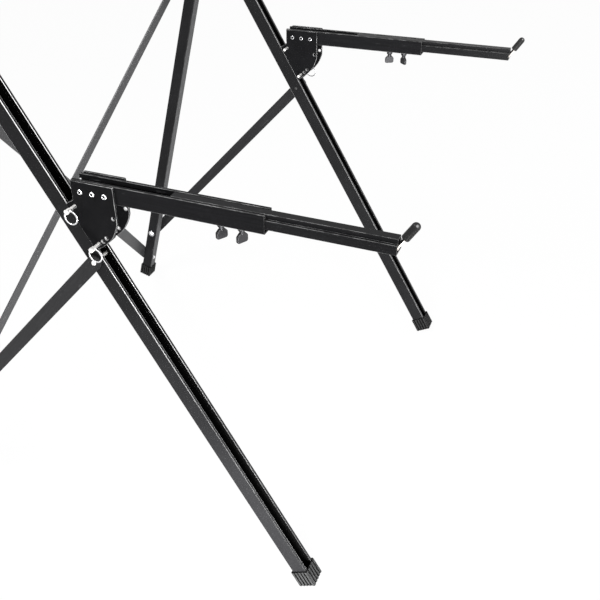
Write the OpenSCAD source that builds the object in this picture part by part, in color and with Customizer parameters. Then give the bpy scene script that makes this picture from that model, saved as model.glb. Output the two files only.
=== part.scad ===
// A-frame keyboard stand: two folding side frames, joined at the back by a
// pair of crossed flat bars, each carrying one sloping support arm on a
// quadrant bracket that is held by two ring pins.
// Millimetres. +Z is up, the player stands at -Y and looks along +Y.
// Each side is drawn for +X with its outer side towards +X, then mirrored.

/* [Stand] */
// Distance between the centre planes of the two side frames
frame_spacing = 900; // [700:5:1100]
// Lean of the front legs from the vertical
front_lean = 28.5; // [25:0.5:31]
// Lean of the rear legs from the vertical
rear_lean = 17; // [14:0.5:20]
// Floor distance between the front faces of the front and rear legs
foot_spread = 929; // [880:1:980]
// Running gap between flat faces that move past each other
side_gap = 0.5; // [0.3:0.1:1]
// Radial clearance of a shaft that turns or slides in its hole
run_gap = 0.08; // [0.03:0.01:0.1]

/* [Front leg rail] */
// Width and depth of the lipped rail
rail_w = 32; // [30:0.5:36]
// Wall of the rail
rail_wall = 2.5; // [2:0.1:3]
// Width of the slot between the lips
rail_slot = 20; // [18:0.5:22]
// Depth of the turned-in edges of the lips
rail_return = 8; // [6:0.5:10]
// Thickness of the turned-in edges
return_wall = 1.8; // [1.5:0.1:2.5]

/* [Rear leg tube] */
// Outer width of the square tube
tube_w = 30; // [28:0.5:34]
// Wall of the tube
tube_wall = 2; // [1.5:0.1:3]
// Length of the tube above the apex pivot
tube_over = 34; // [32:1:50]

/* [Foot caps] */
// Thickness of a cap outside the leg
cap_wall = 3; // [2.5:0.1:3.5]
// Height of a cap along its leg
cap_len = 36; // [32:1:48]
// Thickness of a cap under the leg's end
cap_floor = 4; // [3:0.5:8]
// Depth by which the lowest edge of a cap is worn flat to the floor
foot_sink = 1.6; // [1.2:0.1:2]
// Number of grip grooves on each side of a cap
groove_count = 4; // [3:1:5]
// Width of a grip groove
groove_w = 2.7; // [2:0.1:3]
// Depth of a grip groove
groove_d = 1; // [0.6:0.1:1.2]

/* [Apex bracket] */
// Thickness of the bracket's sheet
cheek_t = 3; // [2.5:0.1:4]
// Radius of the bracket's nose around the pivot
nose_r = 17; // [14:0.5:20]
// Diameter of the apex pivot bolt
apex_bolt_d = 8; // [7:0.5:10]
// Diameter of the bolts that hold the bracket to the rear leg
bracket_bolt_d = 6; // [5:0.5:7]
// Distance of the bracket's bolts above and below the pivot's level
bracket_bolt_step = 20; // [18:1:22]

/* [Side brace] */
// Height of the brace's front bolt along the front leg
brace_up = 780; // [760:1:786]
// Height of the brace's rear stud along the rear leg
brace_foot = 166.5; // [140:0.5:200]
// Width of the flat brace
brace_w = 26; // [22:0.5:26]
// Thickness of the flat brace
brace_t = 4; // [3:0.5:5]
// Diameter of the brace's front bolt
brace_bolt_d = 6; // [5:0.5:7]
// Diameter of the brace's rear stud
stud_d = 8; // [7:0.5:9]
// Diameter of the bright washers on the rear stud
stud_washer_d = 19; // [17:0.5:22]
// Slack of the hook around the stud
hook_slack = 0.5; // [0.3:0.1:1]

/* [Rear cross bars] */
// Height of the lower bolts along the rear legs
cross_low = 69; // [62:0.5:110]
// Height of the upper bolts along the rear legs
cross_high = 1017; // [960:0.5:1018]
// Width of the flat cross bars
cross_w = 31.5; // [26:0.5:32]
// Thickness of the flat cross bars
cross_t = 4; // [3:0.5:5]
// Gap between the two bars where they cross
cross_gap = 7; // [1:0.5:8]
// Diameter of the cross bars' bolts and rivet
cross_bolt_d = 6; // [5:0.5:8]

/* [Pivot block and pins] */
// Height of the arm's pivot pin along the front leg
pivot_up = 879; // [860:1:900]
// Distance of both pins in front of the rail's lips
pin_fwd = 16.5; // [15:0.5:20]
// Radius of the circle of index holes around the pivot pin
index_r = 73; // [68:0.5:75]
// Angle between the first index holes
index_step = 8.5; // [8:0.5:9]
// Tilt at the last index hole, with the arm folded down
index_limit = 52; // [45:1:54]
// Radius of the block's rounded ends
block_end_r = 9.5; // [8:0.5:11]
// Diameter of the ring pins
pin_d = 6.2; // [5:0.1:7]
// Reach of a pin's tip past the leg's centre plane, inwards
pin_in = 37; // [30:1:45]
// Reach of a pin's head centre past the leg's centre plane, outwards
pin_out = 40; // [36:1:48]
// Diameter and length of a pin's head
pin_head_d = 8.5; // [8:0.5:11]
// Mean radius of a pin's ring
ring_r = 12; // [10:0.5:16]
// Diameter of the ring's wire
ring_wire = 2.7; // [2:0.1:3]
// Lean of a hanging ring towards the player
ring_hang = 22.8; // [10:0.1:30]
// Diameter of the screws that hold the block in the rail
block_screw_d = 6; // [5:0.5:8]

/* [Arm plates] */
// Downward slope of the whole arm towards the player
arm_slope = 2; // [0:0.5:4]
// Thickness of the quadrant plates
plate_t = 4; // [3:0.5:5]
// Height of the plates' top edge above the pivot pin
plate_top = 46; // [45:0.5:50]
// Distance of the plates' front edge from the pivot pin
plate_front = 78.5; // [77:0.5:84]
// Radius of the quadrant
plate_round = 80.5; // [79:0.5:83]
// Distance of the plates' upper rear edge behind the pivot pin
plate_back = 1.5; // [0:0.5:5]
// Height of the tab above the pivot pin, along the leg
plate_tab = 10; // [8:0.5:14]
// Gap between the tab's rear edge and the rail's lips
tab_gap = 2; // [1:0.5:4]
// Distance of the first plate screw from the pivot pin
screw_first = 14.8; // [12:0.1:18]
// Pitch of the plate screws
screw_pitch = 23; // [20:0.5:25]
// Height of the plate screws above the pivot pin
screw_rise = 27.7; // [25:0.1:30]
// Number of plate screws
screw_count = 3; // [2:1:3]
// Diameter of the plate screws
screw_d = 5; // [4:0.5:6]
// Diameter of the plate screws' heads
screw_head_d = 9.4; // [8:0.1:11]

/* [Arm rail] */
// Width of the arm rail
arm_w = 29; // [28:0.5:30]
// Height of the arm rail
arm_h = 32.5; // [31.5:0.5:33]
// Height of the arm rail's underside above the pivot pin
arm_low = 12.9; // [12.5:0.1:13.5]
// Length of the arm rail
arm_len = 338.5; // [320:0.5:360]
// Length of the arm rail behind the pivot pin
arm_back = 4.5; // [2:0.5:6]
// Wall of the arm rail
arm_wall = 2; // [1.5:0.1:2.3]
// Width of the arm rail's slot
arm_slot = 17; // [16.5:0.1:18]
// Depth of the arm rail's turned-in edges
arm_return = 8.6; // [8:0.1:9]

/* [Slide] */
// Start of the slide, from the pivot pin
slide_start = 175; // [170:1:185]
// Length of the slide
slide_len = 355.5; // [345:0.5:400]
// Height of the slide's body
slide_h = 15.9; // [15:0.1:16.5]
// Wall of the slide
slide_wall = 2; // [1.5:0.1:2.2]
// Clearance of the slide at its sides
slide_gap = 0.3; // [0.2:0.05:0.4]
// Clearance of the slide's neck in the arm rail's slot
neck_gap = 0.9; // [0.5:0.1:1.2]
// Depth of the neck's top below the arm rail's lips
neck_drop = 0.7; // [0.3:0.1:1]

/* [Thumb screws] */
// Distance of the first thumb screw from the pivot pin
thumb_first = 256; // [250:1:262]
// Distance between the thumb screws
thumb_pitch = 34.5; // [30:0.5:38]
// Diameter of the threaded shank
thumb_d = 6; // [5:0.5:7]
// Diameter of the round collar
collar_d = 13; // [11:0.5:15]
// Height of the round collar
collar_h = 8; // [6:0.5:10]
// Width of the flat paddle
paddle_w = 20; // [18:0.5:24]
// Height of the flat paddle
paddle_h = 17; // [14:0.5:20]
// Thickness of the flat paddle
paddle_t = 5.5; // [4:0.5:7]
// Length of the waist between collar and paddle
waist_h = 7; // [5:0.5:9]

/* [End peg] */
// Rise of the peg above the arm
peg_angle = 58; // [45:1:70]
// Distance of the peg's pivot from the slide's open end
peg_inset = 3.2; // [3:0.1:4]
// Height of the peg's pivot above the slide's underside
peg_rise = 5.7; // [5.6:0.1:6.5]
// Diameter of the peg's rod
peg_rod_d = 5; // [4:0.5:5.5]
// Diameter of the peg's pivot pin
peg_pin_d = 3; // [2.5:0.1:3.2]
// Start of the rubber sleeve, from the peg's pivot
sleeve_start = 18; // [17:0.5:22]
// Length of the rubber sleeve with its round end
sleeve_len = 33.5; // [25:0.5:45]
// Diameter of the rubber sleeve
sleeve_d = 13; // [10:0.5:14]

/* [Hidden] */
$fn = 64;

left = -1;
right = 1;
// A cut runs this far past the faces that it opens
over = 1;
// A face that is not bonded to its neighbour in the same body stays this far off
seat_gap = 0.15;

// Places in a side frame are [y, z], from the foot of the front leg's face
function front_point(up, back) = [
    up * sin(front_lean) + back * cos(front_lean),
    up * cos(front_lean) - back * sin(front_lean)
];
function rear_point(up, back) = [
    foot_spread + back * cos(rear_lean) - up * sin(rear_lean),
    back * sin(rear_lean) + up * cos(rear_lean)
];

// Apex: the pivot lies on the front leg's centre line, far enough from the
// rear leg for the two to lie side by side when the stand is folded
fold_gap = cap_wall + 4;
apex_offset = rail_w / 2 + tube_w / 2 + fold_gap;
apex_angle = front_lean + rear_lean;
apex_up = (tube_w / 2 - apex_offset - rail_w / 2 * cos(apex_angle) + foot_spread * cos(rear_lean))
    / sin(apex_angle);
apex = front_point(apex_up, rail_w / 2);
apex_level = (foot_spread - apex[0]) * sin(rear_lean) + apex[1] * cos(rear_lean);
nose_reach = apex_offset - tube_w / 2 - 1;
rail_over = sqrt(nose_reach * nose_reach - rail_w * rail_w / 4);
cheek_in = rail_w / 2 + side_gap;
tube_top = apex_level + tube_over;

// Feet
front_cap_start = ((rail_w + cap_wall) * sin(front_lean) - foot_sink) / cos(front_lean);
rear_cap_start = (cap_wall * sin(rear_lean) - foot_sink) / cos(rear_lean);

// Side brace: it folds from its stud until it lies along the front leg
brace_front = front_point(brace_up, rail_w / 2);
brace_rear = rear_point(brace_foot, tube_w / 2);
brace_run = brace_rear - brace_front;
brace_len = norm(brace_run);
brace_angle = atan2(brace_run[1], brace_run[0]);
brace_in = rail_w / 2 + cap_wall + 0.6;
fold_limit = apex_angle - 1.5;
fold_ratio = -(brace_angle + 90 + front_lean) / fold_limit;
apex_arm = brace_front - apex;
// Direction in which the stud leaves the hook, in the brace's own plane
leave_along = apex_arm[1] * cos(brace_angle) - apex_arm[0] * sin(brace_angle);
leave_across = -(1 + fold_ratio) * brace_len
    - apex_arm[1] * sin(brace_angle) - apex_arm[0] * cos(brace_angle);
hook_angle = atan2(leave_across, leave_along);

// Arm
pivot = front_point(pivot_up, -pin_fwd);
plate_in = rail_w / 2 + side_gap;
plate_out = plate_in + plate_t;
arm_top = arm_low + arm_h;
slide_w = arm_w - 2 * arm_wall - 2 * slide_gap;
slide_top = arm_top - arm_return - 2 * seat_gap;
slide_low = slide_top - slide_h;
slide_neck_w = arm_slot - 2 * neck_gap;
slide_end = slide_start + slide_len;
peg_out = slide_end - peg_inset;
peg_up = slide_low + peg_rise;
peg_eye_r = peg_rise - slide_wall - side_gap;
leg_down = -(90 - front_lean - arm_slope);

// Pin head and its ring
ring_sag = ring_r - sqrt(ring_r * ring_r - pin_head_d * pin_head_d / 4);
ring_hole_r = ring_wire / 2 + ring_sag / 2 + 0.25;

// Cross bars
cross_first = tube_w;
cross_second = tube_w + cross_t + cross_gap;
cross_run = [frame_spacing, cross_high - cross_low];
cross_head_r = cross_bolt_d * 1.05;
cross_head_h = cross_bolt_d * 0.5;
cross_nut_h = cross_bolt_d * 0.8;

// The whole stand is centred over the origin, front to back
sleeve_tip = sleeve_start + sleeve_len - sleeve_d / 2;
tip_run = peg_out * cos(arm_slope) - peg_up * -sin(arm_slope)
    + sleeve_tip * cos(peg_angle - arm_slope);
front_reach = pivot[0] - tip_run - sleeve_d / 2;
rear_reach = rear_point(rear_cap_start, tube_w + cap_wall)[0];
middle = (front_reach + rear_reach) / 2;

// Frames of reference
module at_side(side) {
    translate([0, -middle, 0])
        mirror([side < 0 ? 1 : 0, 0, 0])
            translate([frame_spacing / 2, 0, 0])
                children();
}

module on_front_leg(side) {
    at_side(side) rotate([-front_lean, 0, 0]) children();
}

module on_rear_leg(side) {
    at_side(side) translate([0, foot_spread, 0]) rotate([rear_lean, 0, 0]) children();
}

module on_rear_plane() {
    translate([0, foot_spread - middle, 0]) rotate([rear_lean, 0, 0]) children();
}

// x runs outwards, -y out along the arm, z up from the pivot pin
module on_arm(side) {
    at_side(side) translate([0, pivot[0], pivot[1]]) rotate([arm_slope, 0, 0]) children();
}

module on_peg(side) {
    on_arm(side) translate([0, -peg_out, peg_up]) rotate([90 - peg_angle, 0, 0]) children();
}

// A pin's own frame, with world directions
module on_pin(side, up) {
    on_front_leg(side)
        translate([0, -pin_fwd, up])
            rotate([front_lean, 0, 0])
                children();
}

// A flat outline drawn as [y, z], made thick from x outwards
module sheet(x, thickness) {
    translate([x, 0, 0]) rotate([90, 0, 90]) linear_extrude(thickness) children();
}

// A round bar along x from one distance to another
module rod(from, to, radius) {
    translate([from, 0, 0]) rotate([0, 90, 0]) cylinder(h = to - from, r = radius);
}

// A washer along x, from one distance to another
module washer(from, to, radius, hole) {
    difference() {
        rod(from, to, radius);
        rod(from - over, to + over, hole);
    }
}

// Half section of a low dome, as [radius, height], standing on height = 0
module dome_section(radius, height) {
    dome_r = (radius * radius + height * height) / (2 * height);
    intersection() {
        translate([0, height - dome_r]) circle(dome_r);
        square([radius, height]);
    }
}

module below_floor() {
    reach = frame_spacing + foot_spread;
    translate([-reach, -reach, -100]) cube([2 * reach, 2 * reach, 100]);
}

// Section of a lipped rail, open at y = 0, with its centre line on x = 0
module lipped_section(width, depth, wall, slot, fold, fold_wall) {
    difference() {
        translate([-width / 2, 0]) square([width, depth]);
        translate([-width / 2 + wall, wall]) square([width - 2 * wall, depth - 2 * wall]);
        translate([-slot / 2, -over]) square([slot, wall + 2 * over]);
    }
    for (hand = [-1, 1])
        translate([hand > 0 ? slot / 2 : -slot / 2 - fold_wall, 0])
            square([fold_wall, fold]);
}

// Rear frame

module rear_leg(side) {
    start = rear_cap_start + cap_floor;
    color("#3a3a3c") on_rear_leg(side) difference() {
        translate([-tube_w / 2, 0, start]) cube([tube_w, tube_w, tube_top - start]);
        translate([-tube_w / 2 + tube_wall, tube_wall, start - over])
            cube([tube_w - 2 * tube_wall, tube_w - 2 * tube_wall, tube_top - start + 2 * over]);
        translate([0, tube_w / 2, brace_foot]) rod(-tube_w, tube_w, stud_d / 2 + run_gap);
        for (step = [-1, 1])
            translate([0, tube_w / 2, apex_level + step * bracket_bolt_step])
                rod(-tube_w, tube_w, bracket_bolt_d / 2 + run_gap);
        for (up = [cross_low, cross_high])
            translate([0, -over, up])
                rotate([-90, 0, 0]) cylinder(h = tube_w + 2 * over, r = cross_bolt_d / 2 + run_gap);
    }
}

module cap_shell(width, start) {
    outer = width + 2 * cap_wall;
    pitch = outer / (groove_count + 1);
    // The grooves stop above the flat that is worn on the lowest edge
    groove_start = foot_sink + 1.2;
    difference() {
        translate([-outer / 2, -cap_wall, start]) cube([outer, outer, cap_len]);
        translate([-width / 2 - seat_gap, -seat_gap, start + cap_floor])
            cube([width + 2 * seat_gap, width + 2 * seat_gap, cap_len]);
        for (index = [1 : groove_count], side = [0 : 3])
            translate([0, width / 2, start + groove_start])
                rotate([0, 0, 90 * side])
                    translate([outer / 2 - groove_d, index * pitch - outer / 2 - groove_w / 2, 0])
                        cube([groove_d + over, groove_w, cap_len - groove_start - groove_w]);
    }
}

module rear_foot(side) {
    color("#2a2a2c") difference() {
        on_rear_leg(side) cap_shell(tube_w, rear_cap_start);
        below_floor();
    }
}

module rear_leg_plugs() {
    inner = tube_w - 2 * tube_wall - 2 * seat_gap;
    depth = tube_over - bracket_bolt_step - bracket_bolt_d / 2 - 2;
    color("#1c1c1e") for (side = [left, right])
        on_rear_leg(side) {
            translate([-inner / 2, tube_w / 2 - inner / 2, tube_top - depth])
                cube([inner, inner, depth + over]);
            translate([-tube_w / 2, 0, tube_top]) cube([tube_w, tube_w, 3]);
        }
}

// Outline of a cheek of the bracket, as [back, up] on the rear leg
module cheek_outline() {
    low = apex_level - bracket_bolt_step - 12;
    high = apex_level + bracket_bolt_step + 8;
    nose = tube_w / 2 - apex_offset;
    square_low = [0, low];
    translate(square_low) square([tube_w + cheek_t, high - low]);
    translate([nose, apex_level]) circle(nose_r);
    translate([nose, apex_level - nose_r]) square([-nose + over, 2 * nose_r]);
}

module apex_bracket(side) {
    low = apex_level - bracket_bolt_step - 12;
    high = apex_level + bracket_bolt_step + 8;
    color("#242426") on_rear_leg(side) difference() {
        union() {
            sheet(cheek_in, cheek_t) cheek_outline();
            sheet(-cheek_in - cheek_t, cheek_t) cheek_outline();
            translate([-cheek_in, tube_w, low]) cube([2 * cheek_in, cheek_t, high - low]);
            for (step = [-1, 1], hand = [-1, 1])
                translate([0, tube_w / 2, apex_level + step * bracket_bolt_step])
                    rod(hand > 0 ? tube_w / 2 : -cheek_in, hand > 0 ? cheek_in : -tube_w / 2, 8);
        }
        for (step = [-1, 1])
            translate([0, tube_w / 2, apex_level + step * bracket_bolt_step])
                rod(-tube_w, tube_w, bracket_bolt_d / 2 + run_gap);
        translate([0, tube_w / 2 - apex_offset, apex_level])
            rod(-tube_w, tube_w, apex_bolt_d / 2 + run_gap);
    }
}

// A bolt along x with a domed head outside and a separate domed nut inside
module through_bolt(inner, outer, diameter, head_r, head_h) {
    tip = head_h * 0.5;
    translate([outer, 0, 0]) rotate([0, 90, 0]) rotate_extrude() {
        dome_section(head_r, head_h);
        translate([0, inner - tip - outer]) square([diameter / 2, outer - inner + tip]);
    }
    translate([inner, 0, 0]) rotate([0, -90, 0]) rotate_extrude() difference() {
        dome_section(head_r, head_h);
        translate([-over, -over]) square([diameter / 2 + seat_gap + over, tip + seat_gap + over]);
    }
}

module apex_bolts(side) {
    face = cheek_in + cheek_t;
    color("#c9cacc") on_rear_leg(side)
        for (step = [-1, 1])
            translate([0, tube_w / 2, apex_level + step * bracket_bolt_step])
                through_bolt(-face, face, bracket_bolt_d, bracket_bolt_d * 0.95, 4);
}

module brace_stud(side) {
    brace_outer = brace_in + brace_t + 2 * seat_gap;
    color("#d6d7d9") on_rear_leg(side) translate([0, tube_w / 2, brace_foot]) {
        through_bolt(-tube_w / 2 - 1.5, brace_outer, stud_d, stud_washer_d * 0.36, 5.5);
        washer(-tube_w / 2 - 1.5, -tube_w / 2, stud_washer_d / 2, stud_d / 2 + seat_gap);
        washer(tube_w / 2, brace_in - 2 * seat_gap, stud_washer_d * 0.4, stud_d / 2 + seat_gap);
    }
}

// A flat bar across the rear plane, rising towards +X or -X
module cross_bar(back, rise) {
    length = norm(cross_run);
    angle = atan2(cross_run[1], cross_run[0]);
    on_rear_plane()
        mirror([rise < 0 ? 1 : 0, 0, 0])
            translate([-frame_spacing / 2, back + cross_t, cross_low])
                rotate([0, -angle, 0])
                    rotate([90, 0, 0]) linear_extrude(cross_t) difference() {
                        union() {
                            circle(cross_w / 2);
                            translate([length, 0]) circle(cross_w / 2);
                            translate([0, -cross_w / 2]) square([length, cross_w]);
                        }
                        for (at = [0, length / 2, length])
                            translate([at, 0]) circle(cross_bolt_d / 2 + run_gap);
                    }
}

// A round bar, washer or head across the rear plane
module back_rod(x, up, from, to, radius) {
    translate([x, from, up]) rotate([-90, 0, 0]) cylinder(h = to - from, r = radius);
}

module back_washer(x, up, from, to, radius) {
    difference() {
        back_rod(x, up, from, to, radius);
        back_rod(x, up, from - over, to + over, cross_bolt_d / 2 + run_gap);
    }
}

// A bolt through the leg, with its head in front and its nut behind the bar
module back_bolt(x, up, face) {
    back_rod(x, up, -cross_head_h, face + cross_nut_h + 2, cross_bolt_d / 2);
    back_rod(x, up, -cross_head_h, 0, cross_head_r);
    back_washer(x, up, face, face + cross_nut_h, cross_head_r);
}

module cross_bar_fasteners() {
    middle_up = (cross_low + cross_high) / 2;
    rear_face = cross_second + cross_t;
    color("#c4c5c8") on_rear_plane() {
        for (side = [left, right]) {
            x = side * frame_spacing / 2;
            front_bar_up = side > 0 ? cross_low : cross_high;
            rear_bar_up = side > 0 ? cross_high : cross_low;
            back_bolt(x, front_bar_up, cross_first + cross_t);
            back_bolt(x, rear_bar_up, rear_face);
            back_washer(x, rear_bar_up, cross_first, cross_second, cross_head_r * 1.2);
        }
        back_washer(0, middle_up, cross_first + cross_t, cross_second, cross_head_r * 1.2);
        back_rod(0, middle_up, cross_first, rear_face, cross_bolt_d / 2);
        back_rod(0, middle_up, cross_first - 2, cross_first, cross_head_r);
        back_rod(0, middle_up, rear_face, rear_face + 2, cross_head_r);
    }
}

// Front frame

module front_leg(side) {
    start = front_cap_start + cap_floor;
    color("#38383a") on_front_leg(side) difference() {
        translate([0, 0, start])
            linear_extrude(apex_up + rail_over - start)
                lipped_section(rail_w, rail_w, rail_wall, rail_slot, rail_return, return_wall);
        translate([0, rail_w / 2, apex_up]) rod(-rail_w, rail_w, apex_bolt_d / 2 + run_gap);
        translate([0, rail_w / 2, brace_up]) rod(-rail_w, rail_w, brace_bolt_d / 2 + run_gap);
        for (up = block_screw_levels())
            translate([0, rail_w / 2, up])
                rotate([-90, 0, 0]) cylinder(h = rail_w, r = block_screw_d / 2 + run_gap);
    }
}

module front_foot(side) {
    color("#2a2a2c") difference() {
        on_front_leg(side) cap_shell(rail_w, front_cap_start);
        below_floor();
    }
}

function block_screw_levels() = [pivot_up - index_r * 0.25, pivot_up - index_r * 0.75];

// Side view of the block, as [back, up] on the front leg
module block_outline() {
    for (up = [pivot_up, pivot_up - index_r]) {
        translate([-pin_fwd, up]) circle(block_end_r);
        translate([-pin_fwd, up - block_end_r]) square([pin_fwd, 2 * block_end_r]);
    }
    translate([-pin_fwd - block_end_r, pivot_up - index_r])
        square([pin_fwd + block_end_r, index_r]);
}

module pivot_block(side) {
    neck_w = rail_slot - 2 * 0.3;
    depth = rail_w - rail_wall;
    low = pivot_up - index_r - block_end_r;
    color("#161618") on_front_leg(side) difference() {
        union() {
            sheet(-rail_w / 2, rail_w) block_outline();
            translate([-neck_w / 2, -over, low + 1])
                cube([neck_w, depth + over, index_r + 2 * block_end_r - 2]);
        }
        for (up = [pivot_up, pivot_up - index_r])
            translate([0, -pin_fwd, up]) rod(-rail_w, rail_w, pin_d / 2 + run_gap);
        for (up = block_screw_levels())
            translate([0, depth - 18, up])
                rotate([-90, 0, 0]) cylinder(h = 18 + over, r = block_screw_d / 2 + run_gap);
    }
}

module block_screws(side) {
    color("#c9cacc") on_front_leg(side)
        for (up = block_screw_levels()) translate([0, 0, up]) rotate([-90, 0, 0]) {
            translate([0, 0, rail_w - rail_wall - 16])
                cylinder(h = rail_wall + 16, r = block_screw_d / 2);
            translate([0, 0, rail_w]) cylinder(h = 3, r = block_screw_d * 0.85);
        }
}

module brace_bolt(side) {
    color("#d6d7d9") on_front_leg(side) translate([0, rail_w / 2, brace_up]) {
        through_bolt(-rail_w / 2, brace_in + brace_t + seat_gap, brace_bolt_d, brace_bolt_d * 0.75, 3.5);
        washer(rail_w / 2, brace_in - seat_gap, brace_bolt_d, brace_bolt_d / 2 + seat_gap);
    }
}

module apex_pivot(side) {
    face = cheek_in + cheek_t + seat_gap;
    color("#d6d7d9") on_front_leg(side) translate([0, rail_w / 2, apex_up])
        through_bolt(-face, face, apex_bolt_d, apex_bolt_d * 0.9, 5);
}

// Flat brace with a round hole in front and an open hook over the rear stud
module side_brace(side) {
    color("#4a4a4c") at_side(side)
        translate([0, brace_front[0], brace_front[1]])
            rotate([brace_angle, 0, 0])
                sheet(brace_in, brace_t) difference() {
                    union() {
                        circle(brace_w / 2);
                        translate([brace_len, 0]) circle(brace_w / 2);
                        translate([0, -brace_w / 2]) square([brace_len, brace_w]);
                    }
                    circle(brace_bolt_d / 2 + run_gap);
                    translate([brace_len, 0]) {
                        circle(stud_d / 2 + hook_slack);
                        rotate(hook_angle)
                            translate([0, -stud_d / 2 - hook_slack])
                                square([brace_w * 1.5, stud_d + 2 * hook_slack]);
                    }
                }
}

// Support arm

// Where the index holes lie, from the lowest one forwards
function index_angles() = [0, index_step, 2 * index_step, index_limit];

// Curved slot along the circle of index holes, as [out, up] from the pivot
module index_slot() {
    slot_r = pin_d / 2 + 0.3;
    intersection() {
        difference() {
            circle(index_r + slot_r);
            circle(index_r - slot_r);
        }
        polygon([
            [0, 0],
            2 * index_r * [cos(leg_down), sin(leg_down)],
            2 * index_r * [1, sin(leg_down)],
            2 * index_r * [cos(leg_down + index_limit), sin(leg_down + index_limit)]
        ]);
    }
    for (turn = index_angles())
        rotate(leg_down + turn) translate([index_r, 0]) circle(slot_r + 0.3);
}

// Outline of a quadrant plate, as [out, up] from the pivot
module plate_outline() {
    intersection() {
        union() {
            // The quadrant starts and ends inside its neighbours
            intersection() {
                circle(plate_round);
                polygon([
                    [0, 0],
                    3 * plate_round * [cos(leg_down - 5), sin(leg_down - 5)],
                    3 * plate_round * [1, sin(leg_down - 5)],
                    3 * plate_round * [1, 0.1]
                ]);
            }
            translate([-plate_back, 0]) square([plate_back + plate_front, plate_top]);
            rotate(leg_down) polygon([
                [-plate_tab, tab_gap - pin_fwd], [plate_round, tab_gap - pin_fwd],
                [plate_round, 0], [0, 0], [0, plate_tab / 2], [-plate_tab, plate_tab / 2]
            ]);
        }
        translate([-plate_round, -plate_round])
            square([plate_round + plate_front, plate_round + plate_top]);
    }
}

function screw_places() = [for (index = [0 : screw_count - 1]) screw_first + index * screw_pitch];

module quadrant_plate(side, x) {
    color("#232325") on_arm(side) sheet(x, plate_t) mirror([1, 0]) difference() {
        plate_outline();
        circle(pin_d / 2 + run_gap);
        index_slot();
        for (out = screw_places()) translate([out, screw_rise]) circle(screw_d / 2 + run_gap);
    }
}

module outer_plate(side) {
    quadrant_plate(side, plate_in);
}

module inner_plate(side) {
    quadrant_plate(side, -plate_out);
}

module arm_rail(side) {
    color("#333335") on_arm(side) difference() {
        translate([0, arm_back, arm_top])
            rotate([90, 0, 0]) linear_extrude(arm_len)
                mirror([0, 1])
                    lipped_section(arm_w, arm_h, arm_wall, arm_slot, arm_return, arm_wall);
        for (out = screw_places())
            translate([0, -out, screw_rise]) rod(-arm_w, arm_w, screw_d / 2 + run_gap);
        for (index = [0, 1])
            translate([0, -thumb_first - index * thumb_pitch, arm_low - over])
                cylinder(h = arm_wall + 2 * over, r = thumb_d / 2 + run_gap);
    }
}

module plate_screws(side) {
    color("#d6d7d9") on_arm(side)
        for (out = screw_places())
            translate([0, -out, screw_rise])
                through_bolt(-plate_out, plate_out, screw_d, screw_head_d / 2, 3);
}

module plate_spacers(side) {
    color("#1c1c1e") on_arm(side)
        for (out = screw_places()) translate([0, -out, screw_rise]) {
            washer(arm_w / 2, plate_in, screw_head_d * 0.8, screw_d / 2 + run_gap);
            washer(-plate_in, -arm_w / 2, screw_head_d * 0.8, screw_d / 2 + run_gap);
        }
}

// Square nuts pressed into the arm rail's floor for the thumb screws
module clamp_nuts(side) {
    width = thumb_d * 1.7;
    height = slide_low - arm_low - arm_wall - 1.5;
    color("#a9aaad") on_arm(side)
        for (index = [0, 1])
            translate([0, -thumb_first - index * thumb_pitch, arm_low + arm_wall])
                difference() {
                    translate([-width / 2, -width / 2, 0]) cube([width, width, height]);
                    translate([0, 0, -over])
                        cylinder(h = height + 2 * over, r = thumb_d / 2 + run_gap);
                }
}

// Slide, peg and thumb screws

// Section of the T-shaped slide, as [across, up] from its underside
module slide_section(inset) {
    height = slide_h + arm_return + 2 * seat_gap - neck_drop;
    translate([-slide_w / 2 + inset, inset])
        square([slide_w - 2 * inset, slide_h - 2 * inset]);
    translate([-slide_neck_w / 2 + inset, inset])
        square([slide_neck_w - 2 * inset, height - 2 * inset]);
}

module slide(side) {
    color("#48484b") on_arm(side) difference() {
        translate([0, -slide_start, slide_low])
            rotate([90, 0, 0]) linear_extrude(slide_len) difference() {
                slide_section(0);
                slide_section(slide_wall);
            }
        translate([0, -peg_out, peg_up]) rod(-slide_w, slide_w, peg_pin_d / 2 + run_gap);
    }
}

module peg_pin(side) {
    color("#c9cacc") on_arm(side)
        translate([0, -peg_out, peg_up]) rod(-slide_w / 2, slide_w / 2, peg_pin_d / 2);
}

module peg_rod(side) {
    bore = peg_pin_d / 2 + run_gap;
    color("#c9cacc") on_peg(side) difference() {
        union() {
            rod(-peg_rod_d / 2 - 0.5, peg_rod_d / 2 + 0.5, peg_eye_r);
            cylinder(h = sleeve_tip - 2, r = peg_rod_d / 2);
        }
        rod(-peg_rod_d, peg_rod_d, bore);
    }
}

module peg_sleeve(side) {
    color("#141414") on_peg(side) difference() {
        union() {
            translate([0, 0, sleeve_start]) cylinder(h = sleeve_tip - sleeve_start, r = sleeve_d / 2);
            translate([0, 0, sleeve_tip]) sphere(sleeve_d / 2);
        }
        translate([0, 0, sleeve_start - sleeve_d])
            cylinder(h = sleeve_tip - 2 + seat_gap - sleeve_start + sleeve_d, r = peg_rod_d / 2 + seat_gap);
    }
}

// Thumb screw with its paddle turned by an angle from the stand's width
module thumb_screw(side, index, turn) {
    waist_r = paddle_t / 2 + 1.5;
    tip = slide_low - arm_low - 2 * seat_gap;
    color("#8b8c90") on_arm(side)
        translate([0, -thumb_first - index * thumb_pitch, arm_low])
            rotate([0, 0, turn]) {
                cylinder(h = tip, r = thumb_d / 2);
                translate([0, 0, -2 * seat_gap - collar_h]) cylinder(h = collar_h, r = collar_d / 2);
                translate([0, 0, -2 * seat_gap]) cylinder(h = 2 * seat_gap, r = thumb_d / 2);
                translate([0, 0, -2 * seat_gap - collar_h - waist_h]) cylinder(h = waist_h, r = waist_r);
                translate([0, paddle_t / 2, -2 * seat_gap - collar_h - waist_h / 2])
                    rotate([90, 0, 0]) linear_extrude(paddle_t) paddle_outline();
            }
}

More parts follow.
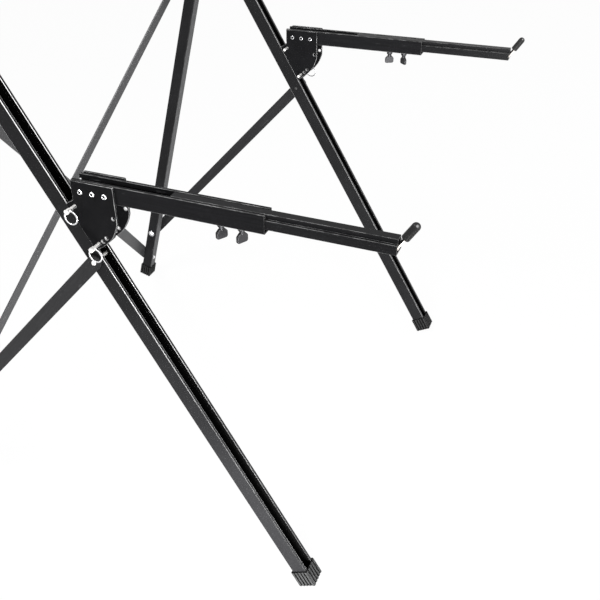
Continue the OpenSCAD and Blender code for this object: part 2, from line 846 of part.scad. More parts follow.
// Flat paddle hanging below its origin, with rounded lower corners
module paddle_outline() {
    corner = paddle_h * 0.28;
    for (hand = [-1, 1])
        translate([hand * (paddle_w / 2 - corner), corner - paddle_h]) circle(corner);
    translate([-paddle_w / 2 + corner, -paddle_h]) square([paddle_w - 2 * corner, paddle_h]);
    polygon([
        [-paddle_w / 2, corner - paddle_h], [paddle_w / 2, corner - paddle_h],
        [paddle_w / 2, -paddle_h * 0.35], [paddle_w / 4, 0],
        [-paddle_w / 4, 0], [-paddle_w / 2, -paddle_h * 0.35]
    ]);
}

// Ring pins

module ring_pin(side, up) {
    color("#cfd0d2") on_pin(side, up) {
        rod(-pin_in, pin_out - pin_head_d / 2 + over, pin_d / 2);
        difference() {
            rod(pin_out - pin_head_d / 2, pin_out + pin_head_d / 2, pin_head_d / 2);
            translate([pin_out, 0, 0])
                rotate([90 - ring_hang, 0, 0])
                    cylinder(h = 2 * pin_head_d, r = ring_hole_r, center = true);
        }
    }
}

module pull_ring(side, up) {
    color("#dcdcde") on_pin(side, up)
        translate([pin_out, 0, 0])
            rotate([-ring_hang, 0, 0])
                translate([0, 0, ring_sag / 2 - ring_r])
                    rotate([0, 90, 0])
                        rotate_extrude()
                            translate([ring_r, 0]) circle(ring_wire / 2);
}

rear_leg(left);  // left_rear_leg
rear_leg(right);  // right_rear_leg
rear_foot(left);  // left_rear_foot
rear_foot(right);  // right_rear_foot
rear_leg_plugs();
apex_bracket(left);  // left_apex_bracket
apex_bracket(right);  // right_apex_bracket
apex_bolts(left);  // left_apex_bolts
apex_bolts(right);  // right_apex_bolts
brace_stud(left);  // left_brace_stud
brace_stud(right);  // right_brace_stud
cross_bar(cross_first, -1);  // front_cross_bar
cross_bar(cross_second, 1);  // rear_cross_bar
cross_bar_fasteners();
front_leg(left);  // left_front_leg
front_leg(right);  // right_front_leg
front_foot(left);  // left_front_foot
front_foot(right);  // right_front_foot
pivot_block(left);  // left_pivot_block
pivot_block(right);  // right_pivot_block
block_screws(left);  // left_block_screws
block_screws(right);  // right_block_screws
brace_bolt(left);  // left_brace_bolt
brace_bolt(right);  // right_brace_bolt
apex_pivot(left);  // left_apex_pivot
apex_pivot(right);  // right_apex_pivot
side_brace(left);  // left_side_brace
side_brace(right);  // right_side_brace
outer_plate(left);  // left_outer_plate
outer_plate(right);  // right_outer_plate
inner_plate(left);  // left_inner_plate
inner_plate(right);  // right_inner_plate
arm_rail(left);  // left_arm_rail
arm_rail(right);  // right_arm_rail
plate_screws(left);  // left_plate_screws
plate_screws(right);  // right_plate_screws
plate_spacers(left);  // left_plate_spacers
plate_spacers(right);  // right_plate_spacers
clamp_nuts(left);  // left_clamp_nuts
clamp_nuts(right);  // right_clamp_nuts
slide(left);  // left_slide
slide(right);  // right_slide
peg_pin(left);  // left_peg_pin
peg_pin(right);  // right_peg_pin
peg_rod(left);  // left_peg_rod
peg_rod(right);  // right_peg_rod
peg_sleeve(left);  // left_peg_sleeve
peg_sleeve(right);  // right_peg_sleeve
thumb_screw(left, 0, 10);  // left_rear_thumb_screw
thumb_screw(left, 1, 30);  // left_front_thumb_screw
thumb_screw(right, 0, -63);  // right_rear_thumb_screw
thumb_screw(right, 1, 20);  // right_front_thumb_screw
ring_pin(left, pivot_up);  // left_pivot_pin
ring_pin(right, pivot_up);  // right_pivot_pin
ring_pin(left, pivot_up - index_r);  // left_index_pin
ring_pin(right, pivot_up - index_r);  // right_index_pin
pull_ring(left, pivot_up);  // left_pivot_ring
pull_ring(right, pivot_up);  // right_pivot_ring
pull_ring(left, pivot_up - index_r);  // left_index_ring
pull_ring(right, pivot_up - index_r);  // right_index_ring
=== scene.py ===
"""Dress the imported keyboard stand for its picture.

The stand is two folding side frames joined behind by a pair of crossed flat
bars. Each frame carries a sloping support arm on a quadrant bracket that two
ring pins hold. Sizes are millimetres in each sub-assembly's own axes, and the
meshes are written in metres in the stand's frame.
"""

from __future__ import annotations

import logging
from collections.abc import Callable, Iterator, Mapping, Sequence
from contextlib import contextmanager
from dataclasses import dataclass
from enum import Enum
from functools import reduce
from math import acos, asin, atan2, copysign, cos, degrees, dist, hypot, pi
from math import radians, sin, sqrt, tan

import bmesh
import bpy
from bpy.types import (
    GeometryNodeTree,
    Material,
    Mesh,
    Node,
    NodeSocket,
    NodeTree,
    Object,
    bpy_prop_collection,
)
from mathutils import Matrix, Vector
from mathutils.geometry import tessellate_polygon

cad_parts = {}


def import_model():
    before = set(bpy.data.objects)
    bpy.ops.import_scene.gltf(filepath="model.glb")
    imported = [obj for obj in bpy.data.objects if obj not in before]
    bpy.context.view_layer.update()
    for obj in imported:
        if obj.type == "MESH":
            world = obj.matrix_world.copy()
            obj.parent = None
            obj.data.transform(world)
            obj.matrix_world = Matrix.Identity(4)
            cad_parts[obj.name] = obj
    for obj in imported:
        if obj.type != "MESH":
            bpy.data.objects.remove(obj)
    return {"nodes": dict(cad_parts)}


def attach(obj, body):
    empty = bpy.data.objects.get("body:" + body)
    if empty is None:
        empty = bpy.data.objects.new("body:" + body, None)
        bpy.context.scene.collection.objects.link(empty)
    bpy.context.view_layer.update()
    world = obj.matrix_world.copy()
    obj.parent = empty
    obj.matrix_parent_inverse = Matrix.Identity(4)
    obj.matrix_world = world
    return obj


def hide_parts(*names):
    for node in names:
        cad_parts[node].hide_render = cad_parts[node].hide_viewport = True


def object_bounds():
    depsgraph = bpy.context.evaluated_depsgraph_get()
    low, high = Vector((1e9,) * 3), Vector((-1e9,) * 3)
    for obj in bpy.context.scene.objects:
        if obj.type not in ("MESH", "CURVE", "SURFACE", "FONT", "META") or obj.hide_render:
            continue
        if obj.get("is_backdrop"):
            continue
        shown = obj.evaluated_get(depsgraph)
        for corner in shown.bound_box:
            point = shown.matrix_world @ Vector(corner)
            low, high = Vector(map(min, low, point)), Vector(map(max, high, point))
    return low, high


LOG = logging.getLogger("keyboard_stand")

MM = 0.001
Point = tuple[float, float]
Triple = tuple[float, float, float]
Corner = Triple  # x, y and radius
Colour = Triple
Loop = list[Point]
Radius = float | Callable[[float], float]


class Side(Enum):
    """A side frame of the stand, as the player sees it."""

    LEFT = -1
    RIGHT = 1

    @property
    def label(self) -> str:
        """The side's word in the names of pieces and bodies."""
        return self.name.lower()


class Socket(Enum):
    """A drive recess in a screw's head."""

    CROSS = "cross"
    HEX = "hex"
    NONE = "none"


# Places in the stand

SCALE = Matrix.Diagonal((MM, MM, MM, 1))


def turn(axis: str, angle: float) -> Matrix:
    """A rotation about one axis, in degrees."""
    return Matrix.Rotation(radians(angle), 4, axis)


def shift(x: float, y: float, z: float) -> Matrix:
    """A translation."""
    return Matrix.Translation((x, y, z))


@dataclass(frozen=True)
class Stand:
    """Main sizes of the stand and the axes of its sub-assemblies."""

    frame_spacing: float = 900.0
    front_lean: float = 28.5
    rear_lean: float = 17.0
    foot_spread: float = 929.0
    side_gap: float = 0.5
    rail_w: float = 32.0
    tube_w: float = 30.0
    tube_over: float = 34.0
    cap_wall: float = 3.0
    cap_floor: float = 4.0
    foot_sink: float = 1.6
    cheek_t: float = 3.0
    pivot_up: float = 879.0
    pin_fwd: float = 16.5
    index_r: float = 73.0
    index_steps: tuple[float, ...] = (0.0, 8.5, 17.0, 52.0)
    hole_r: float = 3.4
    screw_first: float = 14.8
    screw_pitch: float = 23.0
    screw_rise: float = 27.7
    screw_count: int = 3
    arm_slope: float = 2.0
    brace_up: float = 780.0
    brace_foot: float = 166.5
    brace_in: float = 19.6
    brace_t: float = 4.0
    brace_lean: float = -49.0
    middle: float = 403.0704

    @property
    def apex_angle(self) -> float:
        """Angle between the front and the rear leg."""
        return self.front_lean + self.rear_lean

    @property
    def apex_offset(self) -> float:
        """Distance between the legs' centre lines at the apex pivot."""
        return self.rail_w / 2 + self.tube_w / 2 + self.cap_wall + 4

    @property
    def apex_up(self) -> float:
        """Height of the apex pivot along the front leg."""
        opening = radians(self.apex_angle)
        return (
            self.tube_w / 2
            - self.apex_offset
            - self.rail_w / 2 * cos(opening)
            + self.foot_spread * cos(radians(self.rear_lean))
        ) / sin(opening)

    @property
    def apex_level(self) -> float:
        """Height of the apex pivot along the rear leg."""
        y, z = self.front_point(self.apex_up, self.rail_w / 2)
        lean = radians(self.rear_lean)
        return (self.foot_spread - y) * sin(lean) + z * cos(lean)

    @property
    def leg_down(self) -> float:
        """Direction down the front leg, in degrees from the arm's own."""
        return -(90 - self.front_lean - self.arm_slope)

    @property
    def index_holes(self) -> tuple[Point, ...]:
        """Centres of the index holes, out along the arm and up."""
        angles = [radians(self.leg_down + step) for step in self.index_steps]
        return tuple((self.index_r * cos(a), self.index_r * sin(a)) for a in angles)

    @property
    def plate_screws(self) -> tuple[Point, ...]:
        """Centres of the plates' screws, out along the arm and up."""
        return tuple(
            (self.screw_first + self.screw_pitch * k, self.screw_rise)
            for k in range(self.screw_count)
        )

    def cap_start(self, back: float, lean: float) -> float:
        """Where a foot cap begins along its leg.

        Args:
            back: Depth from the leg's face to the cap's lowest wall.
            lean: The leg's lean in degrees.

        Returns:
            The distance along the leg.
        """
        angle = radians(lean)
        drop = (back + self.cap_wall) * sin(angle)
        return (drop - self.foot_sink) / cos(angle)

    def front_point(self, up: float, back: float) -> Point:
        """A place on the front leg.

        Args:
            up: Distance along the leg.
            back: Distance behind the leg's front face.

        Returns:
            The place as (y, z) from the foot of the leg's face.
        """
        lean = radians(self.front_lean)
        return (up * sin(lean) + back * cos(lean), up * cos(lean) - back * sin(lean))

    def at_side(self, side: Side) -> Matrix:
        """Axes of a side frame: x outwards, y to the rear, z up."""
        mirror = Matrix.Diagonal((side.value, 1, 1, 1))
        centred = shift(0, -self.middle, 0)
        return SCALE @ centred @ mirror @ shift(self.frame_spacing / 2, 0, 0)

    def on_front_leg(self, side: Side) -> Matrix:
        """Axes of a front leg: y behind its face, z along it."""
        return self.at_side(side) @ turn("X", -self.front_lean)

    def on_rear_leg(self, side: Side) -> Matrix:
        """Axes of a rear leg: y behind its face, z along it."""
        return (
            self.at_side(side)
            @ shift(0, self.foot_spread, 0)
            @ turn("X", self.rear_lean)
        )

    def on_rear_plane(self) -> Matrix:
        """Axes of the plane of the two rear legs, with x from the middle."""
        return (
            SCALE
            @ shift(0, self.foot_spread - self.middle, 0)
            @ turn("X", self.rear_lean)
        )

    def on_arm(self, side: Side) -> Matrix:
        """Axes of an arm: -y out along it, z up, from the pivot pin."""
        y, z = self.front_point(self.pivot_up, -self.pin_fwd)
        return self.at_side(side) @ shift(0, y, z) @ turn("X", self.arm_slope)

    def on_pin(self, side: Side, up: float) -> Matrix:
        """Axes of a ring pin: x outwards along it, z straight up."""
        return (
            self.on_front_leg(side)
            @ shift(0, -self.pin_fwd, up)
            @ turn("X", self.front_lean)
        )


# An outline's plane and direction, as columns (across, up, along)
ARM_SHEET = Matrix(((0, 0, 1, 0), (-1, 0, 0, 0), (0, 1, 0, 0), (0, 0, 0, 1)))
ARM_BAR = Matrix(((1, 0, 0, 0), (0, 0, -1, 0), (0, 1, 0, 0), (0, 0, 0, 1)))
BACK_SHEET = Matrix(((1, 0, 0, 0), (0, 0, 1, 0), (0, 1, 0, 0), (0, 0, 0, 1)))
OUTWARD = turn("Y", 90)
INWARD = turn("Y", -90)
REARWARD = turn("X", -90)


# Outlines


def rounded(corners: Sequence[Corner], steps: int = 5) -> Loop:
    """Round the corners of a closed outline.

    Args:
        corners: The corners in order, as (x, y, radius).
        steps: Segments of each arc.

    Returns:
        The outline's points.
    """
    points: Loop = []
    for index, (x, y, radius) in enumerate(corners):
        if radius <= 0:
            points.append((x, y))
            continue
        corner = Vector((x, y))
        before, after = (
            (Vector(corners[near % len(corners)][:2]) - corner).normalized()
            for near in (index - 1, index + 1)
        )
        half = before.angle(after) / 2
        centre = corner + (before + after).normalized() * radius / sin(half)
        first = corner + before * radius / tan(half) - centre
        last = corner + after * radius / tan(half) - centre
        begin = atan2(first.y, first.x)
        sweep = atan2(last.y, last.x) - begin
        sweep = (sweep + pi) % (2 * pi) - pi
        points += [
            (
                centre.x + radius * cos(begin + sweep * k / steps),
                centre.y + radius * sin(begin + sweep * k / steps),
            )
            for k in range(steps + 1)
        ]
    return points


def mirrored(corners: Sequence[Corner]) -> list[Corner]:
    """The corners on the other side of x = 0, in the order of a closed outline."""
    return [(-x, y, radius) for x, y, radius in reversed(corners)]


def arc(centre: Point, radius: float, begin: float, end: float, steps: int) -> Loop:
    """Points of an arc about a centre, between two angles in degrees."""
    x, y = centre
    angles = [begin + (end - begin) * k / steps for k in range(steps + 1)]
    return [(x + radius * cos(a), y + radius * sin(a)) for a in map(radians, angles)]


def round_hole(centre: Point, radius: float, steps: int = 28) -> Loop:
    """A round hole's outline."""
    return arc(centre, radius, 0, 360 - 360 / steps, steps - 1)


def box_outline(width: float, depth: float, low: Point, radius: float) -> Loop:
    """A rectangle's outline from its lowest corner, with round corners."""
    x, y = low
    return rounded(
        [
            (x, y, radius), (x + width, y, radius), (x + width, y + depth, radius),
            (x, y + depth, radius),
        ]
    )


def wound(loop: Loop, forwards: bool) -> Loop:
    """The outline wound counter-clockwise, or clockwise for a hole."""
    area = sum(a[0] * b[1] - b[0] * a[1] for a, b in zip(loop, loop[1:] + loop[:1]))
    return loop if (area > 0) == forwards else loop[::-1]


def inset(loop: Loop, distance: float) -> Loop:
    """Move an outline into its material.

    Args:
        loop: The outline, with its material on the left.
        distance: How far each edge moves.

    Returns:
        The moved outline, point by point.
    """
    if distance == 0:
        return loop
    moved: Loop = []
    for index, here in enumerate(loop):
        before = Vector(here) - Vector(loop[index - 1])
        after = Vector(loop[(index + 1) % len(loop)]) - Vector(here)
        first = Vector((-before.y, before.x)).normalized()
        second = Vector((-after.y, after.x)).normalized()
        middle = (first + second).normalized()
        reach = distance / max(0.35, middle.dot(first))
        moved.append((here[0] + middle.x * reach, here[1] + middle.y * reach))
    return moved


# Meshes

CREASE = radians(34)  # an edge between steeper faces stays sharp


class Shells:
    """Closed shells that together make one piece."""

    def __init__(self) -> None:
        """Start with no shell."""
        self.bm = bmesh.new()

    def prism(
        self,
        loops: Sequence[Loop],
        start: float,
        end: float,
        place: Matrix,
        edge: float = 0.4,
        rings: int = 3,
    ) -> None:
        """Extrude an outline with holes, with rounded rims.

        Args:
            loops: The outer outline, then any holes.
            start: Where the solid begins along its direction.
            end: Where it ends.
            place: The outline's plane in the stand.
            edge: Radius of the rims.
            rings: Segments of each rim.
        """
        angles = [pi / 2 * k / rings for k in range(rings + 1)]
        rim = [(edge * (1 - sin(a)), edge * (1 - cos(a))) for a in angles]
        levels = [(depth, start + rise) for depth, rise in rim]
        levels += [(depth, end - rise) for depth, rise in reversed(rim)]
        ends: tuple[list, list] = ([], [])
        for index, loop in enumerate(loops):
            ring = wound(loop, index == 0)
            rows = []
            for depth, level in levels:
                flat = inset(ring, depth)
                rows.append([self._point(place, x, y, level) for x, y in flat])
                if len(rows) in (1, len(levels)):
                    ends[0 if len(rows) == 1 else 1].append((flat, rows[-1]))
            bends = self._bends(ring) if index == 0 else [False] * len(ring)
            faces = self._join(rows)
            for level, row in enumerate(faces):
                at_rim = level < rings or level >= len(faces) - rings
                for face, bend in zip(row, bends):
                    face.material_index = int(at_rim or bend)
        for cap in ends:
            order = [vertex for _, row in cap for vertex in row]
            outline = [[Vector((x, y, 0)) for x, y in flat] for flat, _ in cap]
            for corners in tessellate_polygon(outline):
                self.bm.faces.new([order[corner] for corner in corners])

    def lathe(
        self,
        profile: Sequence[tuple[Radius, float]],
        place: Matrix,
        steps: int = 32,
        hollow: bool = False,
    ) -> None:
        """Turn a profile about its axis.

        Args:
            profile: Radii and heights along the axis. A radius may be a
                function of the angle, and 0 is a pole.
            place: The axis's place in the stand, with the axis along z.
            steps: Segments around the axis.
            hollow: Whether the profile closes on itself around a bore.
        """
        rows = []
        for radius, height in profile:
            if radius == 0.0:
                rows.append([self._point(place, 0, 0, height)])
                continue
            row = []
            for k in range(steps):
                angle = 2 * pi * k / steps
                reach = radius(angle) if callable(radius) else radius
                x, y = reach * cos(angle), reach * sin(angle)
                row.append(self._point(place, x, y, height))
            rows.append(row)
        if hollow:
            rows.append(rows[0])
        self._join(rows)
        if not hollow:
            for row in (rows[0], rows[-1]):
                if len(row) > 2:
                    self.bm.faces.new(row)

    def _point(self, place: Matrix, x: float, y: float, z: float) -> bmesh.types.BMVert:
        """Add one point, given on a plane or an axis in the stand."""
        return self.bm.verts.new(place @ Vector((x, y, z)))

    @staticmethod
    def _bends(ring: Loop, limit: float = 0.8) -> list[bool]:
        """Which edges of an outline lie inside its round corners.

        Args:
            ring: The outline.
            limit: Longest edge of a round corner.

        Returns:
            One answer for each edge.
        """
        ends = ring[1:] + ring[:1]
        short = [dist(a, b) < limit for a, b in zip(ring, ends)]
        after = short[1:] + short[:1]
        return [short[k - 1] and short[k] and after[k] for k in range(len(ring))]

    def _join(
        self, rows: Sequence[Sequence[bmesh.types.BMVert]]
    ) -> list[list[bmesh.types.BMFace]]:
        """Join each row of points to the next with faces, and return them."""
        made = []
        for low, high in zip(rows, rows[1:]):
            made.append([])
            count = max(len(low), len(high))
            for k in range(count):
                corners = [
                    low[k % len(low)],
                    low[(k + 1) % len(low)],
                    high[(k + 1) % len(high)],
                    high[k % len(high)],
                ]
                made[-1].append(self.bm.faces.new(list(dict.fromkeys(corners))))
        return made

    def cut_flat(self) -> None:
        """Cut everything below the ground away and close the cut."""
        cut = bmesh.ops.bisect_plane(
            self.bm,
            geom=[*self.bm.verts, *self.bm.edges, *self.bm.faces],
            plane_co=(0, 0, 0),
            plane_no=(0, 0, 1),
            clear_inner=True,
        )
        rims = [
            item for item in cut["geom_cut"] if isinstance(item, bmesh.types.BMEdge)
        ]
        bmesh.ops.edgeloop_fill(self.bm, edges=rims)

    def take(self, mesh: Mesh, place: Matrix) -> None:
        """Add another mesh's shells, moved to their place."""
        mesh.transform(place)
        self.bm.from_mesh(mesh)
        bpy.data.meshes.remove(mesh)

    def piece(
        self, name: str, finish: Material, trim: Material | None = None
    ) -> Object:
        """Make the finished piece.

        Args:
            name: The piece's name.
            finish: Its material.
            trim: Material of its rims and bends, when it differs.

        Returns:
            A new object at the origin, with its place in its mesh.
        """
        bmesh.ops.recalc_face_normals(self.bm, faces=self.bm.faces)
        mesh = bpy.data.meshes.new(name)
        self.bm.to_mesh(mesh)
        self.bm.free()
        mesh.materials.append(finish)
        if trim:
            mesh.materials.append(trim)
        else:
            mesh.polygons.foreach_set("material_index", [0] * len(mesh.polygons))
        return shaded(new_object(name, mesh))


def new_object(name: str, mesh: Mesh) -> Object:
    """Link a new object that shows a mesh."""
    made = bpy.data.objects.new(name, mesh)
    bpy.context.scene.collection.objects.link(made)
    return made


def settled(piece: Object) -> Object:
    """Turn a piece's modifiers into plain mesh."""
    bpy.context.view_layer.update()
    seen = piece.evaluated_get(bpy.context.evaluated_depsgraph_get())
    mesh = bpy.data.meshes.new_from_object(seen)
    old = piece.data
    piece.modifiers.clear()
    piece.data = mesh
    bpy.data.meshes.remove(old)
    mesh.name = piece.name
    return piece


def shaded(piece: Object) -> Object:
    """Shade a piece's flat faces flat and its rims round."""
    mesh = piece.data
    mesh.polygons.foreach_set("use_smooth", [True] * len(mesh.polygons))
    mesh.set_sharp_from_angle(angle=CREASE)
    even = piece.modifiers.new("even normals", "WEIGHTED_NORMAL")
    even.keep_sharp = True
    return settled(piece)


def softened(node: Object, name: str, finish: Material, edge: float) -> Object:
    """Copy a solid and round its sharp edges.

    Args:
        node: The solid's object.
        name: Name of the new piece.
        finish: Material of the new piece.
        edge: Radius of the rounded edges in millimetres.

    Returns:
        The rounded copy.
    """
    copy = bmesh.new()
    copy.from_mesh(node.data)
    bmesh.ops.remove_doubles(copy, verts=copy.verts, dist=2e-6)
    bmesh.ops.dissolve_limit(
        copy, angle_limit=radians(1), verts=copy.verts, edges=copy.edges
    )
    mesh = bpy.data.meshes.new(name)
    copy.to_mesh(mesh)
    copy.free()
    mesh.materials.clear()
    mesh.materials.append(finish)
    mesh.polygons.foreach_set("material_index", [0] * len(mesh.polygons))
    piece = new_object(name, mesh)
    rim = piece.modifiers.new("rims", "BEVEL")
    rim.width = edge * MM
    rim.segments = 2
    rim.limit_method = "ANGLE"
    rim.angle_limit = radians(40)
    rim.use_clamp_overlap = True
    return shaded(settled(piece))


# Node trees


class Value:
    """A socket that carries a number and takes part in arithmetic."""

    def __init__(self, graph: Graph, socket: NodeSocket) -> None:
        """Wrap a socket of a graph."""
        self.graph = graph
        self.socket = socket

    def _math(self, operation: str, *terms: Value | float) -> Value:
        """Add one Math node."""
        node = self.graph.node(
            "ShaderNodeMath", {"operation": operation}, dict(enumerate(terms))
        )
        return Value(self.graph, node.outputs[0])

    def __add__(self, other: Value | float) -> Value:
        """Sum."""
        return self._math("ADD", self, other)

    __radd__ = __add__

    def __sub__(self, other: Value | float) -> Value:
        """Difference."""
        return self._math("SUBTRACT", self, other)

    def __rsub__(self, other: Value | float) -> Value:
        """Difference, from a plain number."""
        return self._math("SUBTRACT", other, self)

    def __mul__(self, other: Value | float) -> Value:
        """Product."""
        return self._math("MULTIPLY", self, other)

    __rmul__ = __mul__

    def __truediv__(self, other: Value | float) -> Value:
        """Quotient."""
        return self._math("DIVIDE", self, other)

    def __pow__(self, other: Value | float) -> Value:
        """Power."""
        return self._math("POWER", self, other)

    def __abs__(self) -> Value:
        """Size without sign."""
        return self._math("ABSOLUTE", self)

    def least(self, other: Value | float) -> Value:
        """The smaller of two."""
        return self._math("MINIMUM", self, other)

    def most(self, other: Value | float) -> Value:
        """The larger of two."""
        return self._math("MAXIMUM", self, other)

    def between(self, low: float, high: float) -> Value:
        """Rise smoothly from 0 at low to 1 at high."""
        node = self.graph.node(
            "ShaderNodeMapRange",
            {"interpolation_type": "SMOOTHSTEP"},
            {"Value": self, "From Min": low, "From Max": high},
        )
        return Value(self.graph, node.outputs[0])

    def falling(self, low: float, high: float) -> Value:
        """Fall smoothly from 1 at low to 0 at high."""
        return 1.0 - self.between(low, high)


class Graph:
    """A node tree that is being built."""

    def __init__(self, tree: NodeTree) -> None:
        """Work on a tree."""
        self.tree = tree

    def node(
        self,
        kind: str,
        settings: Mapping[str, object] | None = None,
        inputs: Mapping[str | int, object] | None = None,
    ) -> Node:
        """Make one node.

        Args:
            kind: The node's type.
            settings: Its properties, set first.
            inputs: Values or links of its sockets, by name or number.

        Returns:
            The new node.
        """
        made = self.tree.nodes.new(kind)
        for key, setting in (settings or {}).items():
            setattr(made, key, setting)
        for key, value in (inputs or {}).items():
            self.feed(made.inputs[key], value)
        return made

    def feed(self, socket: NodeSocket, value: object) -> None:
        """Link a socket, or set its value."""
        if isinstance(value, Value):
            value = value.socket
        if isinstance(value, NodeSocket):
            self.tree.links.new(value, socket)
        elif isinstance(value, tuple) and socket.type == "RGBA":
            socket.default_value = (*value, 1.0) if len(value) == 3 else value
        else:
            socket.default_value = value


@dataclass(frozen=True)
class Axes:
    """Axes turned about x by a lean in degrees, from an origin in the stand."""

    origin: Vector
    lean: float


def length(*parts: Value) -> Value:
    """Length of a vector with these parts."""
    first, *rest = [part * part for part in parts]
    return sum(rest, first) ** 0.5


def nearest(y: Value, z: Value, points: Sequence[Point]) -> Value:
    """Distance to the nearest of some points on a plate.

    Args:
        y: Place along the arm's own y.
        z: Place along the arm's own z.
        points: The points in millimetres, out along the arm and up.

    Returns:
        The distance in metres.
    """
    return reduce(
        Value.least, [length(y + out * MM, z - up * MM) for out, up in points]
    )


class Surface(Graph):
    """A material's nodes on Object coordinates."""

    def __init__(self, name: str) -> None:
        """Start an empty material."""
        self.material = bpy.data.materials.new(name)
        self.material.use_nodes = True
        super().__init__(self.material.node_tree)
        self.tree.nodes.clear()
        self.place = self.node("ShaderNodeTexCoord").outputs["Object"]

    def local(self, axes: Axes) -> NodeSocket:
        """The coordinates in other axes."""
        node = self.node(
            "ShaderNodeMapping",
            {"vector_type": "TEXTURE"},
            {
                "Vector": self.place,
                "Location": tuple(axes.origin),
                "Rotation": (radians(axes.lean), 0.0, 0.0),
            },
        )
        return node.outputs[0]

    def parts(self, axes: Axes | None = None) -> tuple[Value, Value, Value]:
        """The three coordinates, in other axes where they are given."""
        vector = self.local(axes) if axes else self.place
        node = self.node("ShaderNodeSeparateXYZ", inputs={0: vector})
        return tuple(Value(self, out) for out in node.outputs)

    def depth(self, axes: Axes, centre: Point, half: Point) -> tuple[Value, Value]:
        """How close a place comes to the two pairs of faces of a leg.

        Args:
            axes: The leg's axes, in the middle of the stand.
            centre: The leg's middle, as (across, back) in millimetres.
            half: Half its width and half its depth.

        Returns:
            Distances from the middle, where 1 is the face.
        """
        x, y, _ = self.parts(axes)
        across = abs(abs(x) - centre[0] * MM) / (half[0] * MM)
        deep = abs(y - centre[1] * MM) / (half[1] * MM)
        return across, deep

    def noise(
        self,
        scale: float,
        detail: float = 2.0,
        stretch: tuple[float, float, float] = (1.0, 1.0, 1.0),
        vector: NodeSocket | None = None,
    ) -> Value:
        """Soft noise between 0 and 1.

        Args:
            scale: Features per metre.
            detail: Octaves.
            stretch: Scale of each axis.
            vector: Coordinates, when not the plain Object ones.

        Returns:
            The noise.
        """
        spread = self.node(
            "ShaderNodeMapping",
            inputs={"Vector": vector or self.place, "Scale": stretch},
        )
        node = self.node(
            "ShaderNodeTexNoise",
            inputs={"Vector": spread.outputs[0], "Scale": scale, "Detail": detail},
        )
        return Value(self, node.outputs[0])

    def haze(self) -> Value:
        """Cloudy stains, as plated metal gets them."""
        return self.noise(160.0, 4.0)

    def mixed(self, share: Value, first: object, second: object) -> NodeSocket:
        """A colour between two colours."""
        node = self.node(
            "ShaderNodeMix", {"data_type": "RGBA"}, {0: share, 6: first, 7: second}
        )
        return node.outputs[2]

    def toned(self, share: Value, colour: Colour, gain: float) -> NodeSocket:
        """A colour that a share brightens by a gain."""
        return self.mixed(share, colour, tuple(c * gain for c in colour))

    def finish(
        self,
        colour: object,
        roughness: object,
        height: Value,
        relief: float,
        metallic: object = 0.0,
        specular: float = 0.5,
    ) -> Material:
        """Close the material.

        Args:
            colour: Base colour, or its socket.
            roughness: Roughness, or its value.
            height: Relief between 0 and 1.
            relief: Depth of the relief in millimetres.
            metallic: Metallic share, or its value.
            specular: Level of the specular reflection.

        Returns:
            The material.
        """
        bump = self.node(
            "ShaderNodeBump", inputs={"Height": height, "Distance": relief * MM}
        )
        inputs: dict[str | int, object] = {
            "Base Color": colour,
            "Roughness": roughness,
            "Metallic": metallic,
            "Specular IOR Level": specular,
            "Normal": bump.outputs[0],
        }
        shader = self.node("ShaderNodeBsdfPrincipled", inputs=inputs)
        self.node("ShaderNodeOutputMaterial", inputs={0: shader.outputs[0]})
        return self.material


# Finishes


def grey(level: float) -> Colour:
    """A neutral colour."""
    return (level, level, level)


@dataclass(frozen=True)
class PowderCoat:
    """Black powder coat with fine grain, paler on the bends.

    The centre and the half sizes say where the bends run; their paler colour is
    wear together with a painted highlight. The front faces of the left and the
    right leg have their own colours, a painted light and shade, and a line along
    them, between two distances from the leg's middle, is a paler painted
    highlight. The rail's inside is darker than its faces, a painted shade.
    """

    name: str
    colour: Colour
    worn: Colour
    roughness: float
    specular: float
    axes: Axes
    centre: Point
    half: Point
    faced: tuple[Colour, Colour]
    line: Point | None = None
    line_colour: Colour = (0.06, 0.06, 0.06)
    inner: Colour = (0.001, 0.001, 0.001)

    def build(self) -> Material:
        """Make the material."""
        make = Surface(self.name)
        across, deep = make.depth(self.axes, self.centre, self.half)
        bend = across.least(deep).between(0.86, 1.0)
        # the bends: wear together with a painted highlight
        wear_and_sheen = bend * make.noise(38.0, 4.0).between(0.42, 0.66)
        cloud = make.noise(9.0, 3.0)
        tone = make.toned(cloud.between(0.3, 0.75), self.colour, 1.35)
        # painted shade: the rail's inside is darker than its faces
        tone = make.mixed(across.most(deep).falling(0.9, 0.95), tone, self.inner)
        x, y, _ = make.parts(self.axes)
        # painted light and shade: the front faces take their own colours
        front = y.falling(0.1 * MM, 0.4 * MM)
        faced = make.mixed(x.between(-0.1, 0.1), *self.faced)
        tone = make.mixed(front, tone, faced)
        if self.line:
            low, high = self.line
            out = abs(x) - self.centre[0] * MM
            # a painted highlight line along the front lips
            highlit = out.between((low - 0.3) * MM, low * MM)
            highlit = highlit * out.falling(high * MM, (high + 0.3) * MM) * front
            tone = make.mixed(highlit, tone, self.line_colour)
        return make.finish(
            make.mixed(wear_and_sheen * 0.3, tone, self.worn),
            self.roughness + (cloud - 0.5) * 0.12 - wear_and_sheen * 0.1,
            make.noise(1500.0),
            0.03,
            specular=self.specular,
        )


